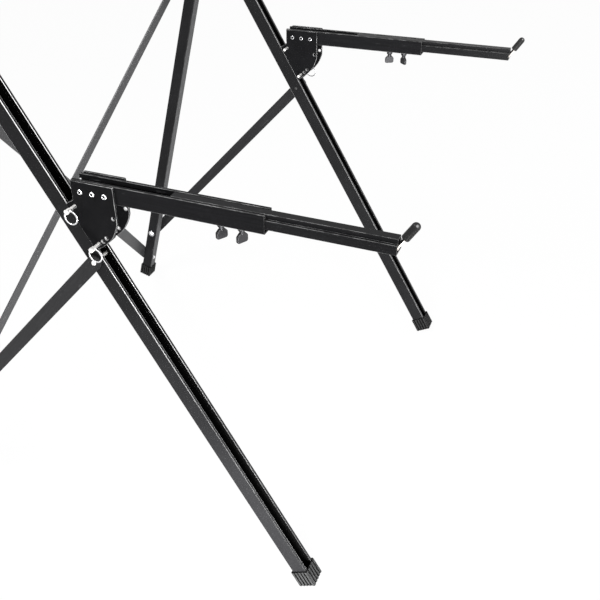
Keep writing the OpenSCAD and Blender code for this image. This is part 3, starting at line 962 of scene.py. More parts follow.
@dataclass(frozen=True)
class RubbedEdge:
    """An edge whose black finish carries a painted highlight of bright metal.

    The painted highlight's share goes from low to high with the height. The
    edges of a slot, nearer the leg's middle than its corners, have their own
    shares.
    """

    name: str
    low: float
    high: float
    broken: float
    slot: Point | None = None
    middle: float = 450.0
    corner: float = 13.0
    colour: Colour = (0.006, 0.006, 0.006)
    metal: Colour = (0.8, 0.8, 0.8)

    def build(self) -> Material:
        """Make the material."""
        make = Surface(self.name)
        x, _, z = make.parts()
        rise = z.between(0.3, 0.95)
        fade = self.low + rise * (self.high - self.low)
        if self.slot:
            low, high = self.slot
            across = abs(abs(x) - self.middle * MM)
            outer = across.between((self.corner - 0.5) * MM, self.corner * MM)
            fade = fade * outer + (low + rise * (high - low)) * (1.0 - outer)
        patches = make.noise(55.0, 4.0).between(0.36, 0.62)
        # the painted highlight, broken into patches
        bare = fade * (patches * self.broken + (1.0 - self.broken))
        return make.finish(
            make.mixed(bare, self.colour, self.metal),
            0.3,
            make.noise(900.0),
            0.003,
            bare,
            specular=0.1,
        )


@dataclass(frozen=True)
class PlateEnamel:
    """Glossy black enamel, with a painted highlight round each index hole."""

    name: str
    colour: Colour
    axes: Axes
    holes: tuple[Point, ...]
    hole_r: float
    bare: Colour = (0.55, 0.55, 0.55)

    def build(self) -> Material:
        """Make the material."""
        make = Surface(self.name)
        _, y, z = make.parts(self.axes)
        # painted highlight: a bright ring at each index hole's rim
        highlit = nearest(y, z, self.holes).falling(
            (self.hole_r + 0.1) * MM, (self.hole_r + 0.4) * MM
        )
        smear = make.noise(30.0, 3.0)
        tone = make.toned(smear.between(0.4, 0.8), self.colour, 1.3)
        return make.finish(
            make.mixed(highlit, tone, self.bare),
            0.24 + smear * 0.12 + highlit * 0.1,
            make.noise(420.0, 1.0),
            0.03,
            highlit * 0.7,
            specular=0.02,
        )


@dataclass(frozen=True)
class DrawnSatin:
    """Satin black finish of a drawn section, with faint lines along it."""

    name: str
    colour: Colour
    roughness: float
    specular: float
    axes: Axes
    scuffed: Colour = (0.12, 0.12, 0.125)

    def build(self) -> Material:
        """Make the material."""
        make = Surface(self.name)
        along = make.local(self.axes)
        lines = make.noise(900.0, 2.0, (1.0, 0.012, 1.0), along)
        cloud = make.noise(14.0, 3.0)
        scuffs = make.noise(90.0, 4.0, (1.0, 0.2, 1.0), along)
        tone = make.toned(lines.between(0.35, 0.7), self.colour, 1.4)
        return make.finish(
            make.mixed(scuffs.between(0.66, 0.78) * 0.35, tone, self.scuffed),
            self.roughness + (cloud - 0.5) * 0.1 + (lines - 0.5) * 0.08,
            lines,
            0.02,
            specular=self.specular,
        )


@dataclass(frozen=True)
class Moulding:
    """Moulded plastic with a matt skin."""

    name: str
    colour: Colour
    specular: float

    def build(self) -> Material:
        """Make the material."""
        make = Surface(self.name)
        cloud = make.noise(45.0, 3.0)
        return make.finish(
            make.toned(cloud.between(0.25, 0.8), self.colour, 1.4),
            0.5 + (cloud - 0.5) * 0.15,
            make.noise(1100.0, 3.0),
            0.05,
            specular=self.specular,
        )


@dataclass(frozen=True)
class CapRubber:
    """Grey rubber of a foot cap, with painted shade in its grooves.

    The centre and the half sizes are those of the cap's outside.
    """

    name: str
    colour: Colour
    dirt: Colour
    axes: Axes
    centre: Point
    half: Point

    def build(self) -> Material:
        """Make the material."""
        make = Surface(self.name)
        across, deep = make.depth(self.axes, self.centre, self.half)
        cloud = make.noise(60.0, 3.0)
        tone = make.toned(cloud.between(0.25, 0.8), self.colour, 1.3)
        # painted shade darkens the grooves, below the ribs' faces
        return make.finish(
            make.mixed(across.most(deep).between(0.98, 0.995), self.dirt, tone),
            0.5 + (cloud - 0.5) * 0.15,
            make.noise(900.0, 3.0),
            0.06,
            specular=0.05,
        )


@dataclass(frozen=True)
class BareMetal:
    """Plated or cast metal with fine scratches."""

    name: str
    colour: Colour
    roughness: float
    scratch: float
    relief: float = 0.01
    grain: float = 900.0
    stained: Colour = (0.3, 0.29, 0.28)
    stain: float = 0.15
    metallic: float = 1.0

    def build(self) -> Material:
        """Make the material."""
        make = Surface(self.name)
        haze = make.haze()
        return make.finish(
            make.mixed(haze.between(0.5, 0.8) * self.stain, self.colour, self.stained),
            self.roughness + haze * self.scratch,
            make.noise(self.grain, 2.0, (1.0, 1.0, 0.25)),
            self.relief,
            self.metallic,
        )


@dataclass(frozen=True)
class RodSteel:
    """Bright rod steel, with a black painted shade along its back.

    The painted shade starts at an edge, in millimetres back from the rod's axis.
    """

    name: str
    axes: Axes
    edge: float
    colour: Colour = (0.88, 0.82, 0.76)
    rust: Colour = (0.55, 0.36, 0.24)
    black: Colour = (0.006, 0.006, 0.006)

    def build(self) -> Material:
        """Make the material."""
        make = Surface(self.name)
        _, y, _ = make.parts(self.axes)
        haze = make.haze()
        # painted shade: the rod's back half is black
        back = y.between((self.edge - 0.35) * MM, (self.edge + 0.35) * MM)
        steel = make.mixed(haze.between(0.5, 0.8) * 0.3, self.colour, self.rust)
        return make.finish(
            make.mixed(back, steel, self.black),
            0.25 + haze * 0.08 + back * 0.2,
            make.noise(900.0),
            0.01,
            (1.0 - back) * 0.5,
            specular=0.2,
        )


@dataclass(frozen=True)
class PinNickel:
    """Nickel of a cross-wise pin, with a painted reflection: one bright band,
    dimmer on its sides.

    The painted bright band starts and ends at two heights across the pin, above
    a thin painted black line. It runs on the shank, up to the shank's length.
    """

    name: str
    axes: Axes
    streak: Point
    shank: float
    soft: float = 0.3
    line: float = 0.7
    colour: Colour = (0.78, 0.77, 0.75)
    dull: Colour = (0.3, 0.3, 0.3)
    black: Colour = (0.01, 0.01, 0.01)

    def build(self) -> Material:
        """Make the material."""
        make = Surface(self.name)
        x, y, _ = make.parts(self.axes)
        low, high = (edge * MM for edge in self.streak)
        soft, line = self.soft * MM, low - self.line * MM
        shank = abs(x).falling((self.shank - 0.5) * MM, (self.shank + 0.5) * MM)
        # painted reflection: dim above and below the bright band, a black line below it
        above = shank * y.between(high - soft, high + soft)
        below = shank * y.falling(low - soft, low + soft)
        tone = make.mixed(above.most(below), self.colour, self.dull)
        dark = below * y.between(line - soft, line + soft)
        return make.finish(
            make.mixed(dark, tone, self.black),
            0.28 + make.haze() * 0.08,
            make.noise(900.0),
            0.003,
            0.5,
            specular=0.2,
        )


@dataclass(frozen=True)
class GripRubber:
    """Rubber of a peg's sleeve, with a painted highlight at one spot of its round
    tip.

    The painted highlight fades between two distances from its middle.
    """

    name: str
    spot: Vector
    reach: Point = (0.9, 2.6)
    colour: Colour = (0.013, 0.013, 0.013)
    worn: Colour = (0.18, 0.18, 0.18)

    def build(self) -> Material:
        """Make the material."""
        make = Surface(self.name)
        away = length(*(part - at for part, at in zip(make.parts(), self.spot)))
        # painted highlight: a pale spot on the tip
        worn = away.falling(self.reach[0] * MM, self.reach[1] * MM)
        cloud = make.noise(45.0, 3.0)
        tone = make.toned(cloud.between(0.25, 0.8), self.colour, 1.4)
        return make.finish(
            make.mixed(worn, tone, self.worn),
            0.42 + (cloud - 0.5) * 0.15,
            make.noise(700.0, 3.0),
            0.012,
            specular=0.1,
        )


@dataclass(frozen=True)
class HeadZinc:
    """Bright screw heads with a dark painted shade over their recesses.

    The painted shade sits off the heads' centres by an offset, between the
    depths of the recesses' floor and of the heads' tops from the arm's middle.
    """

    name: str
    colour: Colour
    dirt: Colour
    axes: Axes
    middle: float
    heads: tuple[Point, ...]
    reach: float
    smear: Point
    depths: Point

    def build(self) -> Material:
        """Make the material."""
        make = Surface(self.name)
        x, y, z = make.parts(self.axes)
        aside, up = self.smear
        near = nearest(y, z, [(head[0] + aside, head[1] + up) for head in self.heads])
        across = abs(abs(x) - self.middle * MM)
        low, high = self.depths
        # painted shade: a dark disc over each head's recess
        inside = across.between((low - 0.3) * MM, low * MM)
        inside = inside * across.falling((high - 0.2) * MM, high * MM)
        inside = inside * near.falling(self.reach * MM, (self.reach + 0.15) * MM)
        return make.finish(
            make.mixed(inside, self.colour, self.dirt),
            0.24 + make.haze() * 0.1 + inside * 0.3,
            make.noise(900.0),
            0.01,
            1.0 - inside,
            specular=0.0,
        )


class FinishBook:
    """Every finish that several pieces share, made once."""

    def __init__(self, stand: Stand) -> None:
        """Make all the materials."""
        foot = stand.at_side(Side.RIGHT).to_translation()
        pivot = stand.on_arm(Side.RIGHT).to_translation()
        foot.x = pivot.x = 0.0
        heel = foot + Vector((0, stand.foot_spread * MM, 0))
        front = Axes(foot, -stand.front_lean)
        rear = Axes(heel, stand.rear_lean)
        self._coat_legs(stand, front, rear)
        self._paint_flats(rear, Axes(heel, stand.brace_lean))
        self._paint_arms(stand, Axes(pivot, stand.arm_slope))
        self._plate_metal()
        self.block = Moulding("pivot block plastic", grey(0.012), 0.3).build()
        self.plug = Moulding("tube plug plastic", grey(0.014), 0.35).build()

    def _coat_legs(self, stand: Stand, front: Axes, rear: Axes) -> None:
        """Coats, foot caps and the painted highlights on the bends of the legs."""
        half_x = stand.frame_spacing / 2
        self.front_leg = PowderCoat(
            "front leg powder coat",
            colour=(0.0068, 0.0068, 0.0072),
            worn=grey(0.2),
            roughness=0.36,
            specular=0.07,
            axes=front,
            centre=(half_x, stand.rail_w / 2),
            half=(stand.rail_w / 2, stand.rail_w / 2),
            # front faces: painted shade on the left leg, painted light on the right
            faced=((0.0075, 0.0075, 0.008), (0.045, 0.045, 0.046)),
            # a painted highlight line along each lip
            line=(10.6, 11.8),
        ).build()
        self.rear_leg = PowderCoat(
            "rear leg powder coat",
            colour=(0.0072, 0.0072, 0.0076),
            worn=grey(0.16),
            roughness=0.34,
            specular=0.05,
            axes=rear,
            centre=(half_x, stand.tube_w / 2),
            half=(stand.tube_w / 2, stand.tube_w / 2),
            # front faces painted lighter than the sides
            faced=((0.052, 0.052, 0.053), (0.052, 0.052, 0.053)),
        ).build()
        self.front_cap, self.rear_cap = (
            CapRubber(
                f"{word} foot cap rubber",
                (0.0155, 0.0157, 0.0158),
                # painted shade of the grooves
                grey(0.002),
                axes,
                (half_x, width / 2),
                (width / 2 + stand.cap_wall, width / 2 + stand.cap_wall),
            ).build()
            for word, axes, width in (
                ("front", front, stand.rail_w), ("rear", rear, stand.tube_w)
            )
        )
        # painted highlights along the bends, strong on the left leg and faint on the right
        self.leg_trims = {
            side: RubbedEdge(
                f"{side.label} rubbed bends", low, high, 0.25, slot
            ).build()
            for side, low, high, slot in (
                (Side.LEFT, 0.0, 0.9, (0.02, 0.9)), (Side.RIGHT, 0.1, 0.25, (0.0, 0.02))
            )
        }

    def _paint_flats(self, rear: Axes, brace: Axes) -> None:
        """Paints of the crossed bars and the side braces."""
        self.bar = DrawnSatin(
            "flat bar paint", (0.022, 0.022, 0.023), 0.42, 0.35, rear
        ).build()
        self.brace = DrawnSatin(
            "side brace paint", (0.0095, 0.0095, 0.01), 0.4, 0.14, brace
        ).build()

    def _paint_arms(self, stand: Stand, arm: Axes) -> None:
        """Finishes of the arms, their plates and the plates' screws."""
        self.arm = DrawnSatin(
            "arm rail satin black", (0.0062, 0.0062, 0.0067), 0.32, 0.02, arm
        ).build()
        self.slide = DrawnSatin(
            "slide satin black", (0.006, 0.006, 0.0065), 0.3, 0.06, arm
        ).build()
        self.plate = PlateEnamel(
            "plate enamel", (0.005, 0.005, 0.0054), arm, stand.index_holes, stand.hole_r
        ).build()
        # painted highlights along the plates' rims and the arms' and slides' bends
        self.plate_trim = RubbedEdge("rubbed plate rims", 0.1, 0.3, 0.8).build()
        self.arm_trim = RubbedEdge("rubbed arm bends", 0.03, 0.12, 0.8).build()
        self.plate_screw = HeadZinc(
            "plate screw zinc",
            colour=(0.74, 0.74, 0.75),
            # painted shade over the recesses
            dirt=grey(0.008),
            axes=arm,
            middle=stand.frame_spacing / 2,
            heads=stand.plate_screws,
            reach=2.6,
            smear=(0.5, 0.5),
            depths=(20.9, 26.0),
        ).build()

    def _plate_metal(self) -> None:
        """Plated and cast metals."""
        self.chrome = BareMetal("ring chrome", (0.82, 0.82, 0.83), 0.14, 0.08).build()
        self.nickel = BareMetal(
            "pin nickel",
            (0.72, 0.71, 0.69),
            0.28,
            0.08,
            0.003,
            stain=0.05,
            metallic=0.5,
        ).build()
        self.screw = BareMetal("stud zinc", (0.75, 0.75, 0.76), 0.24, 0.1).build()
        self.zinc = BareMetal("zinc plating", (0.66, 0.66, 0.67), 0.2, 0.12).build()
        self.cast = BareMetal(
            "cast thumb screw",
            (0.045, 0.045, 0.047),
            0.38,
            0.12,
            0.05,
            600.0,
            stained=grey(0.02),
            stain=0.6,
        ).build()


# Repeats


class Repeats:
    """Geometry Nodes trees for what repeats or follows a path."""

    def row_tree(self) -> GeometryNodeTree:
        """A tree that sets one part along a straight row."""
        make, given = self._opened(
            "part row",
            Part="Object",
            Count="Int",
            First="Vector",
            Step="Vector",
            Finish="Material",
        )
        line = make.node(
            "GeometryNodeMeshLine",
            {"mode": "OFFSET"},
            {
                "Count": given["Count"],
                "Start Location": given["First"],
                "Offset": given["Step"],
            },
        )
        part = make.node("GeometryNodeObjectInfo", inputs={"Object": given["Part"]})
        copies = make.node(
            "GeometryNodeInstanceOnPoints",
            inputs={"Points": line.outputs[0], "Instance": part.outputs["Geometry"]},
        )
        return self._closed(make, copies.outputs[0], given["Finish"])

    def ring_tree(self) -> GeometryNodeTree:
        """A tree that bends round wire into a ring."""
        make, given = self._opened(
            "wire ring", Radius="Float", Wire="Float", Finish="Material"
        )
        path = self._circle(make, 72, given["Radius"])
        wire = self._circle(make, 20, given["Wire"])
        return self._closed(make, self._swept(make, path, wire), given["Finish"])

    def thread_tree(self) -> GeometryNodeTree:
        """A tree that winds a thread's ridge around a shank."""
        make, given = self._opened(
            "screw thread",
            Turns="Float",
            Radius="Float",
            Length="Float",
            Ridge="Float",
            Finish="Material",
        )
        path = make.node(
            "GeometryNodeCurveSpiral",
            inputs={
                "Resolution": 20,
                "Rotations": given["Turns"],
                "Start Radius": given["Radius"],
                "End Radius": given["Radius"],
                "Height": given["Length"],
            },
        ).outputs[0]
        ridge = self._circle(make, 4, given["Ridge"])
        return self._closed(make, self._swept(make, path, ridge, True), given["Finish"])

    def _opened(self, name: str, **kinds: str) -> tuple[Graph, bpy_prop_collection]:
        """Start a tree with its inputs.

        Args:
            name: The tree's name.
            kinds: Each input's name and kind.

        Returns:
            The tree's graph, and its inputs by name.
        """
        tree = bpy.data.node_groups.new(name, "GeometryNodeTree")
        for label, kind in kinds.items():
            tree.interface.new_socket(
                label, in_out="INPUT", socket_type=f"NodeSocket{kind}"
            )
        make = Graph(tree)
        return make, make.node("NodeGroupInput").outputs

    def _circle(self, make: Graph, steps: int, radius: NodeSocket) -> NodeSocket:
        """A round curve."""
        inputs = {"Resolution": steps, "Radius": radius}
        return make.node("GeometryNodeCurvePrimitiveCircle", inputs=inputs).outputs[0]

    def _swept(
        self, make: Graph, path: NodeSocket, profile: NodeSocket, capped: bool = False
    ) -> NodeSocket:
        """A profile swept along a path, with closed ends when capped."""
        inputs = {"Curve": path, "Profile Curve": profile, "Fill Caps": capped}
        return make.node("GeometryNodeCurveToMesh", inputs=inputs).outputs[0]

    def _closed(
        self, make: Graph, geometry: NodeSocket, finish: NodeSocket
    ) -> GeometryNodeTree:
        """End a tree in real geometry with its material."""
        make.tree.interface.new_socket(
            "Geometry", in_out="OUTPUT", socket_type="NodeSocketGeometry"
        )
        real = make.node("GeometryNodeRealizeInstances", inputs={0: geometry})
        dressed = make.node(
            "GeometryNodeSetMaterial",
            inputs={"Geometry": real.outputs[0], "Material": finish},
        )
        make.node("NodeGroupOutput", inputs={0: dressed.outputs[0]})
        return make.tree


class Workshop:
    """Grows meshes from the trees and rides finished pieces on bodies."""

    def __init__(self, nodes: Mapping[str, Object]) -> None:
        """Build the trees.

        Args:
            nodes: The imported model's solids by name.
        """
        trees = Repeats()
        self.row = trees.row_tree()
        self.ring = trees.ring_tree()
        self.thread = trees.thread_tree()
        self.nodes = nodes

    def grow(self, tree: GeometryNodeTree, **given: object) -> Mesh:
        """Run a tree once.

        Args:
            tree: The tree.
            given: Its inputs by name.

        Returns:
            The plain mesh that it makes.
        """
        base = new_object("growing", bpy.data.meshes.new("growing"))
        grower = base.modifiers.new("grower", "NODES")
        grower.node_group = tree
        for item in tree.interface.items_tree:
            if item.item_type == "SOCKET" and item.name in given:
                grower[item.identifier] = given[item.name]
        settled(base)
        mesh = base.data
        bpy.data.objects.remove(base)
        return mesh

    @contextmanager
    def lent(
        self, part: Shells, finish: Material
    ) -> Iterator[Callable[[int, Vector, Vector], Mesh]]:
        """Lend a part to the row tree.

        Args:
            part: The part, drawn around the stand's origin.
            finish: Its material.

        Yields:
            A function that makes one row of copies, from the count, the first
            place and the step.
        """
        master = part.piece("row_master", finish)

        def row(count: int, first: Vector, step: Vector) -> Mesh:
            """Make one row of copies."""
            return self.grow(
                self.row,
                Part=master,
                Count=count,
                First=first,
                Step=step,
                Finish=finish,
            )

        yield row
        mesh = master.data
        bpy.data.objects.remove(master)
        bpy.data.meshes.remove(mesh)

    def fit(self, piece: Object, body: str, slot: str, *nodes: str) -> None:
        """Ride a piece on its body in place of the solids that it stands for.

        Args:
            piece: The finished piece.
            body: The body that carries it.
            slot: Not used.
            nodes: The solids that it replaces.
        """
        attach(piece, body)
        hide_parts(*nodes)
        LOG.info("%s rides on %s, %d faces", piece.name, body, len(piece.data.polygons))


# Screws and bolts


def hex_reach(flat: float) -> Callable[[float], float]:
    """Radius of a hexagon by angle, from half its width across flats."""
    return lambda angle: flat / cos((angle % (pi / 3)) - pi / 6)


def cross_reach(arm: float, half_w: float) -> Callable[[float], float]:
    """Radius of a cross recess by angle, from its arm and half width."""

    def reach(angle: float) -> float:
        """Radius at an angle."""
        off = (angle + pi / 4) % (pi / 2) - pi / 4
        side = half_w / max(abs(sin(off)), 1e-6)
        return min(side, arm / cos(off))

    return reach


def dome(
    radius: float, height: float, steps: int = 7, stop: float = 0.0
) -> list[tuple[Radius, float]]:
    """Profile of a low dome, from its rim up to a stop radius."""
    ball = (radius * radius + height * height) / (2 * height)
    rim = asin(min(1.0, radius / ball))
    top = asin(stop / ball)
    angles = [rim + (top - rim) * k / steps for k in range(steps + 1)]
    profile = [(ball * sin(a), height - ball + ball * cos(a)) for a in angles]
    if stop == 0.0:
        profile[-1] = (0.0, height)
    return profile


def head_profile(
    radius: float, height: float, socket: Socket
) -> list[tuple[Radius, float]]:
    """Profile of a domed head with its recess, standing on height 0."""
    skirt = 0.25
    profile = [(radius - skirt, 0.0), (radius, skirt)]
    crown = height - skirt
    if socket is Socket.NONE:
        return profile + [(r, h + skirt) for r, h in dome(radius, crown)]
    reach = radius * 0.56
    profile += [(r, h + skirt) for r, h in dome(radius, crown, 6, reach * 1.12)]
    top = profile[-1][1]
    if socket is Socket.HEX:
        wall = hex_reach(reach * 0.86)
        inner = hex_reach(reach * 0.8)
    else:
        wall = cross_reach(reach, reach * 0.36)
        inner = cross_reach(reach * 0.7, reach * 0.3)
    return profile + [
        (wall, top + 0.05), (inner, top - height * 0.5), (0.0, top - height * 0.6)
    ]


def shank_profile(radius: float, tip: float, end: float) -> list[tuple[Radius, float]]:
    """Profile of a plain shank with a chamfered tip, from the tip to its end."""
    chamfer = copysign(0.4, end - tip)
    return [(radius - 0.4, tip), (radius, tip + chamfer), (radius, end)]


@dataclass(frozen=True)
class ThroughBolt:
    """A bolt with a domed head outside and a domed nut inside."""

    inner: float
    outer: float
    diameter: float
    head_r: float
    head_h: float
    socket: Socket = Socket.NONE
    steps: int = 48

    def add_to(
        self, shells: Shells, place: Matrix, nut_shells: Shells | None = None
    ) -> None:
        """Add the bolt along x at a place.

        Args:
            shells: Shells of the bolt's piece.
            place: Its place.
            nut_shells: Shells of the nut's piece, when it is another one.
        """
        head = head_profile(self.head_r, self.head_h, self.socket)
        shells.lathe(head, place @ shift(self.outer, 0, 0) @ OUTWARD, self.steps)
        tip = self.inner - self.head_h * 0.5
        shank = shank_profile(self.diameter / 2, tip, self.outer)
        shells.lathe(shank, place @ OUTWARD, 24)
        seat = self.head_r * 0.98
        low = self.head_h * 0.45
        flats = hex_reach(seat * 0.86)
        nut = [(hex_reach(seat * 0.84), 0.0), (flats, 0.3), (flats, low)]
        nut += [(r * 0.8, low + h * 0.55) for r, h in dome(seat, self.head_h)]
        bottom = place @ shift(self.inner, 0, 0) @ INWARD
        (nut_shells or shells).lathe(nut, bottom, self.steps)


def add_washer(
    shells: Shells, place: Matrix, start: float, end: float, radius: float, bore: float
) -> None:
    """Add a washer along z with soft rims."""
    soft = min(0.3, (end - start) / 3)
    shells.lathe(
        [
            (bore, start), (radius - soft, start), (radius, start + soft),
            (radius, end - soft), (radius - soft, end), (bore, end),
        ],
        place,
        40,
        hollow=True,
    )


# Sub-assemblies

SNUG = 0.08  # a bolt in its hole
LOOSE = 0.15  # a part that turns or slides on another


def lipped_section(
    width: float, depth: float, wall: float, slot: float, fold: float, fold_t: float
) -> Loop:
    """Outline of a lipped rail, open at y = 0, with rounded bends."""
    a, b, c = width / 2, slot / 2, width / 2 - wall
    right = [
        (c, depth - wall, 0.9), (c, wall, 0.4), (b + fold_t, wall, 0.4),
        (b + fold_t, fold, 0.5), (b, fold, 0.5), (b, 0, 1.3), (a, 0, 1.6),
        (a, depth, 2.4),
    ]
    return rounded(right + mirrored(right))


@dataclass
class FootCap:
    """A cap with wide ribs, pushed over a leg's end."""

    stand: Stand
    width: float
    start: float
    length: float = 36.0
    brim: float = 3.0
    mouth: float = 1.1
    groove_count: int = 4
    groove_w: float = 3.8
    groove_d: float = 1.0

    def build(
        self, shop: Workshop, name: str, place: Matrix, finish: Material
    ) -> Object:
        """Make the cap, with its ribs set in rows between corner posts.

        Args:
            shop: Grows the ribs.
            name: Name of the piece.
            place: The leg's axes.
            finish: Material of the cap.

        Returns:
            The cap, cut flat where it stands.
        """
        outer = self.width + 2 * self.stand.cap_wall
        core = outer - 2 * self.groove_d
        bed = core / 2 - 0.6
        pitch = outer / (self.groove_count + 1)
        inner = (self.groove_count - 1) / 2 * pitch + self.groove_w / 2
        first = Vector((-pitch * (self.groove_count - 2) / 2, 0, 0))
        shells = Shells()
        self._add_core(shells, core, place)
        corner = self._corner(outer / 2, bed, inner)
        middle = place @ shift(0, self.width / 2, 0)
        with shop.lent(self._rib(pitch, outer / 2, bed), finish) as row:
            for quarter in range(4):
                turned = middle @ turn("Z", 90 * quarter)
                ribs = row(self.groove_count - 1, first, Vector((pitch, 0, 0)))
                shells.take(ribs, turned)
                shells.prism([corner], self.start, self.top, turned, 0.6, 2)
        shells.cut_flat()
        return shells.piece(name, finish)

    @property
    def top(self) -> float:
        """Where the cap ends along its leg."""
        return self.start + self.length

    def _add_core(self, shells: Shells, core: float, place: Matrix) -> None:
        """Add the floor and the wall that the ribs stand on."""
        low = (-core / 2, self.width / 2 - core / 2)
        block = box_outline(core, core, low, 2.2)
        floor = self.start + self.stand.cap_floor
        brim = self.top - self.brim
        shells.prism([block], self.start, floor, place, 0.9)
        for begin, end, slack in (
            (floor - 0.02, brim, LOOSE), (brim - 0.02, self.top, self.mouth)
        ):
            bore = self.width + 2 * slack
            pocket = box_outline(bore, bore, (-bore / 2, -slack), 2.0)
            shells.prism([block, pocket], begin, end, place, 0.2)

    def _rib(self, pitch: float, edge: float, bed: float) -> Shells:
        """One rib at the stand's origin."""
        wide = pitch - self.groove_w
        rib = Shells()
        rib.prism(
            [box_outline(wide, edge - bed, (-wide / 2, bed), 0.5)],
            self.start,
            self.top,
            Matrix.Identity(4),
            0.6,
            2,
        )
        return rib

    def _corner(self, edge: float, bed: float, inner: float) -> Loop:
        """Outline of a corner post, from the inner edge of its ribbed faces."""
        return rounded(
            [
                (inner, bed, 0), (bed, bed, 0), (bed, inner, 0), (edge, inner, 0.5),
                (edge, edge, 2.4), (inner, edge, 0.5),
            ]
        )


@dataclass
class RearFrame:
    """The fixed frame: rear legs, crossed bars and what is bolted to them."""

    stand: Stand
    finishes: FinishBook
    shop: Workshop
    tube_wall: float = 2.0
    tube_round: float = 3.0
    cross_low: float = 69.0
    cross_high: float = 1017.0
    cross_w: float = 31.5
    cross_t: float = 4.0
    cross_gap: float = 7.0
    cross_bolt_d: float = 6.0
    bracket_step: float = 20.0
    bracket_bolt_d: float = 6.0
    stud_d: float = 8.0
    stud_washer_d: float = 19.0
    stud_washer_t: float = 1.5
    hook_gap: float = 0.3
    body: str = "rear_frame"

    @property
    def tube_top(self) -> float:
        """Where a tube ends along its leg."""
        return self.stand.apex_level + self.stand.tube_over

    def build(self) -> None:
        """Build and fit every piece of the frame."""
        for side in Side:
            self._leg(side)
            self._bracket(side)
            self._stud(side)
        self._plugs()
        self._bars()
        self._fasteners()

    def _leg(self, side: Side) -> None:
        """A square tube with rounded corners, and its cap."""
        stand, place = self.stand, self.stand.on_rear_leg(side)
        width, wall = stand.tube_w, self.tube_wall
        start = stand.cap_start(0.0, stand.rear_lean)
        bore = width - 2 * wall
        loops = [
            box_outline(width, width, (-width / 2, 0), self.tube_round),
            box_outline(bore, bore, (-width / 2 + wall, wall), 1.2),
        ]
        shells = Shells()
        shells.prism(loops, start + stand.cap_floor, self.tube_top, place, 0.3)
        leg = shells.piece(f"{side.label}_rear_tube", self.finishes.rear_leg)
        self.shop.fit(leg, self.body, "leg_paint", f"{side.label}_rear_leg")
        cap = FootCap(stand, width, start).build(
            self.shop, f"{side.label}_rear_cap", place, self.finishes.rear_cap
        )
        self.shop.fit(cap, self.body, "cap_plastic", f"{side.label}_rear_foot")

    def _bracket(self, side: Side) -> None:
        """The folded bracket at the apex with its two bolts."""
        node = f"{side.label}_apex_bracket"
        bracket = softened(
            self.shop.nodes[node],
            f"{side.label}_folded_bracket",
            self.finishes.plate,
            0.6,
        )
        self.shop.fit(bracket, self.body, "plate_paint", node)
        stand = self.stand
        face = stand.rail_w / 2 + stand.side_gap + stand.cheek_t
        diameter = self.bracket_bolt_d
        bolt = ThroughBolt(-face, face, diameter, diameter * 0.95, 4.0, Socket.HEX)
        shells = Shells()
        for step in (-1, 1):
            up = stand.apex_level + step * self.bracket_step
            bolt.add_to(
                shells, stand.on_rear_leg(side) @ shift(0, stand.tube_w / 2, up)
            )
        bolts = shells.piece(f"{side.label}_bracket_bolts", self.finishes.zinc)
        self.shop.fit(bolts, self.body, "zinc_steel", f"{side.label}_apex_bolts")

    def _stud(self, side: Side) -> None:
        """The stud that holds the side brace, with its bright washers."""
        stand = self.stand
        half = stand.tube_w / 2
        place = stand.on_rear_leg(side) @ shift(0, half, stand.brace_foot)
        inner = -half - self.stud_washer_t
        outer = stand.brace_in + stand.brace_t + self.hook_gap
        bore = self.stud_d / 2 + LOOSE
        washer_d = self.stud_washer_d
        shells = Shells()
        ThroughBolt(inner, outer, self.stud_d, washer_d * 0.36, 5.5).add_to(
            shells, place
        )
        add_washer(shells, place @ OUTWARD, inner, -half, washer_d / 2, bore)
        stud = shells.piece(f"{side.label}_hook_stud", self.finishes.screw)
        self.shop.fit(stud, self.body, "bright_steel", f"{side.label}_brace_stud")
        shells = Shells()
        end = stand.brace_in - self.hook_gap
        add_washer(shells, place @ OUTWARD, half, end, washer_d * 0.4, bore)
        spacer = shells.piece(f"{side.label}_stud_spacer", self.finishes.plug)
        self.shop.fit(spacer, self.body, "block_plastic", f"{side.label}_brace_stud")

    def _plugs(self) -> None:
        """The domed plugs in the tubes' tops."""
        stand, top = self.stand, self.tube_top
        width = stand.tube_w
        inner = width - 2 * self.tube_wall - 0.3
        depth = stand.tube_over - self.bracket_step - self.bracket_bolt_d / 2 - 2
        low = (-inner / 2, width / 2 - inner / 2)
        stem = box_outline(inner, inner, low, 1.2)
        lid = box_outline(width, width, (-width / 2, 0), self.tube_round)
        shells = Shells()
        for side in Side:
            place = stand.on_rear_leg(side)
            shells.prism([stem], top - depth, top + 0.3, place, 0.3)
            shells.prism([lid], top, top + 3, place, 1.2)
        plugs = shells.piece("tube_plugs", self.finishes.plug)
        self.shop.fit(plugs, self.body, "block_plastic", "rear_leg_plugs")

    def _bars(self) -> None:
        """The two flat bars that cross behind the rear legs."""
        spacing = self.stand.frame_spacing
        rise = self.cross_high - self.cross_low
        length = hypot(spacing, rise)
        angle = degrees(atan2(rise, spacing))
        half = self.cross_w / 2
        outline = arc((0, 0), half, 90, 270, 20) + arc((length, 0), half, -90, 90, 20)
        bore = self.cross_bolt_d / 2 + SNUG
        holes = [round_hole((at, 0), bore) for at in (0, length / 2, length)]
        first = self.stand.tube_w
        second = first + self.cross_t + self.cross_gap
        for word, back, hand in (("front", first, -1), ("rear", second, 1)):
            place = (
                self.stand.on_rear_plane()
                @ Matrix.Diagonal((hand, 1, 1, 1))
                @ shift(-spacing / 2, back, self.cross_low)
                @ turn("Y", -angle)
                @ BACK_SHEET
            )
            shells = Shells()
            shells.prism([outline, *holes], 0, self.cross_t, place, 0.5)
            bar = shells.piece(f"{word}_crossed_flat", self.finishes.bar)
            self.shop.fit(bar, self.body, "brace_paint", f"{word}_cross_bar")

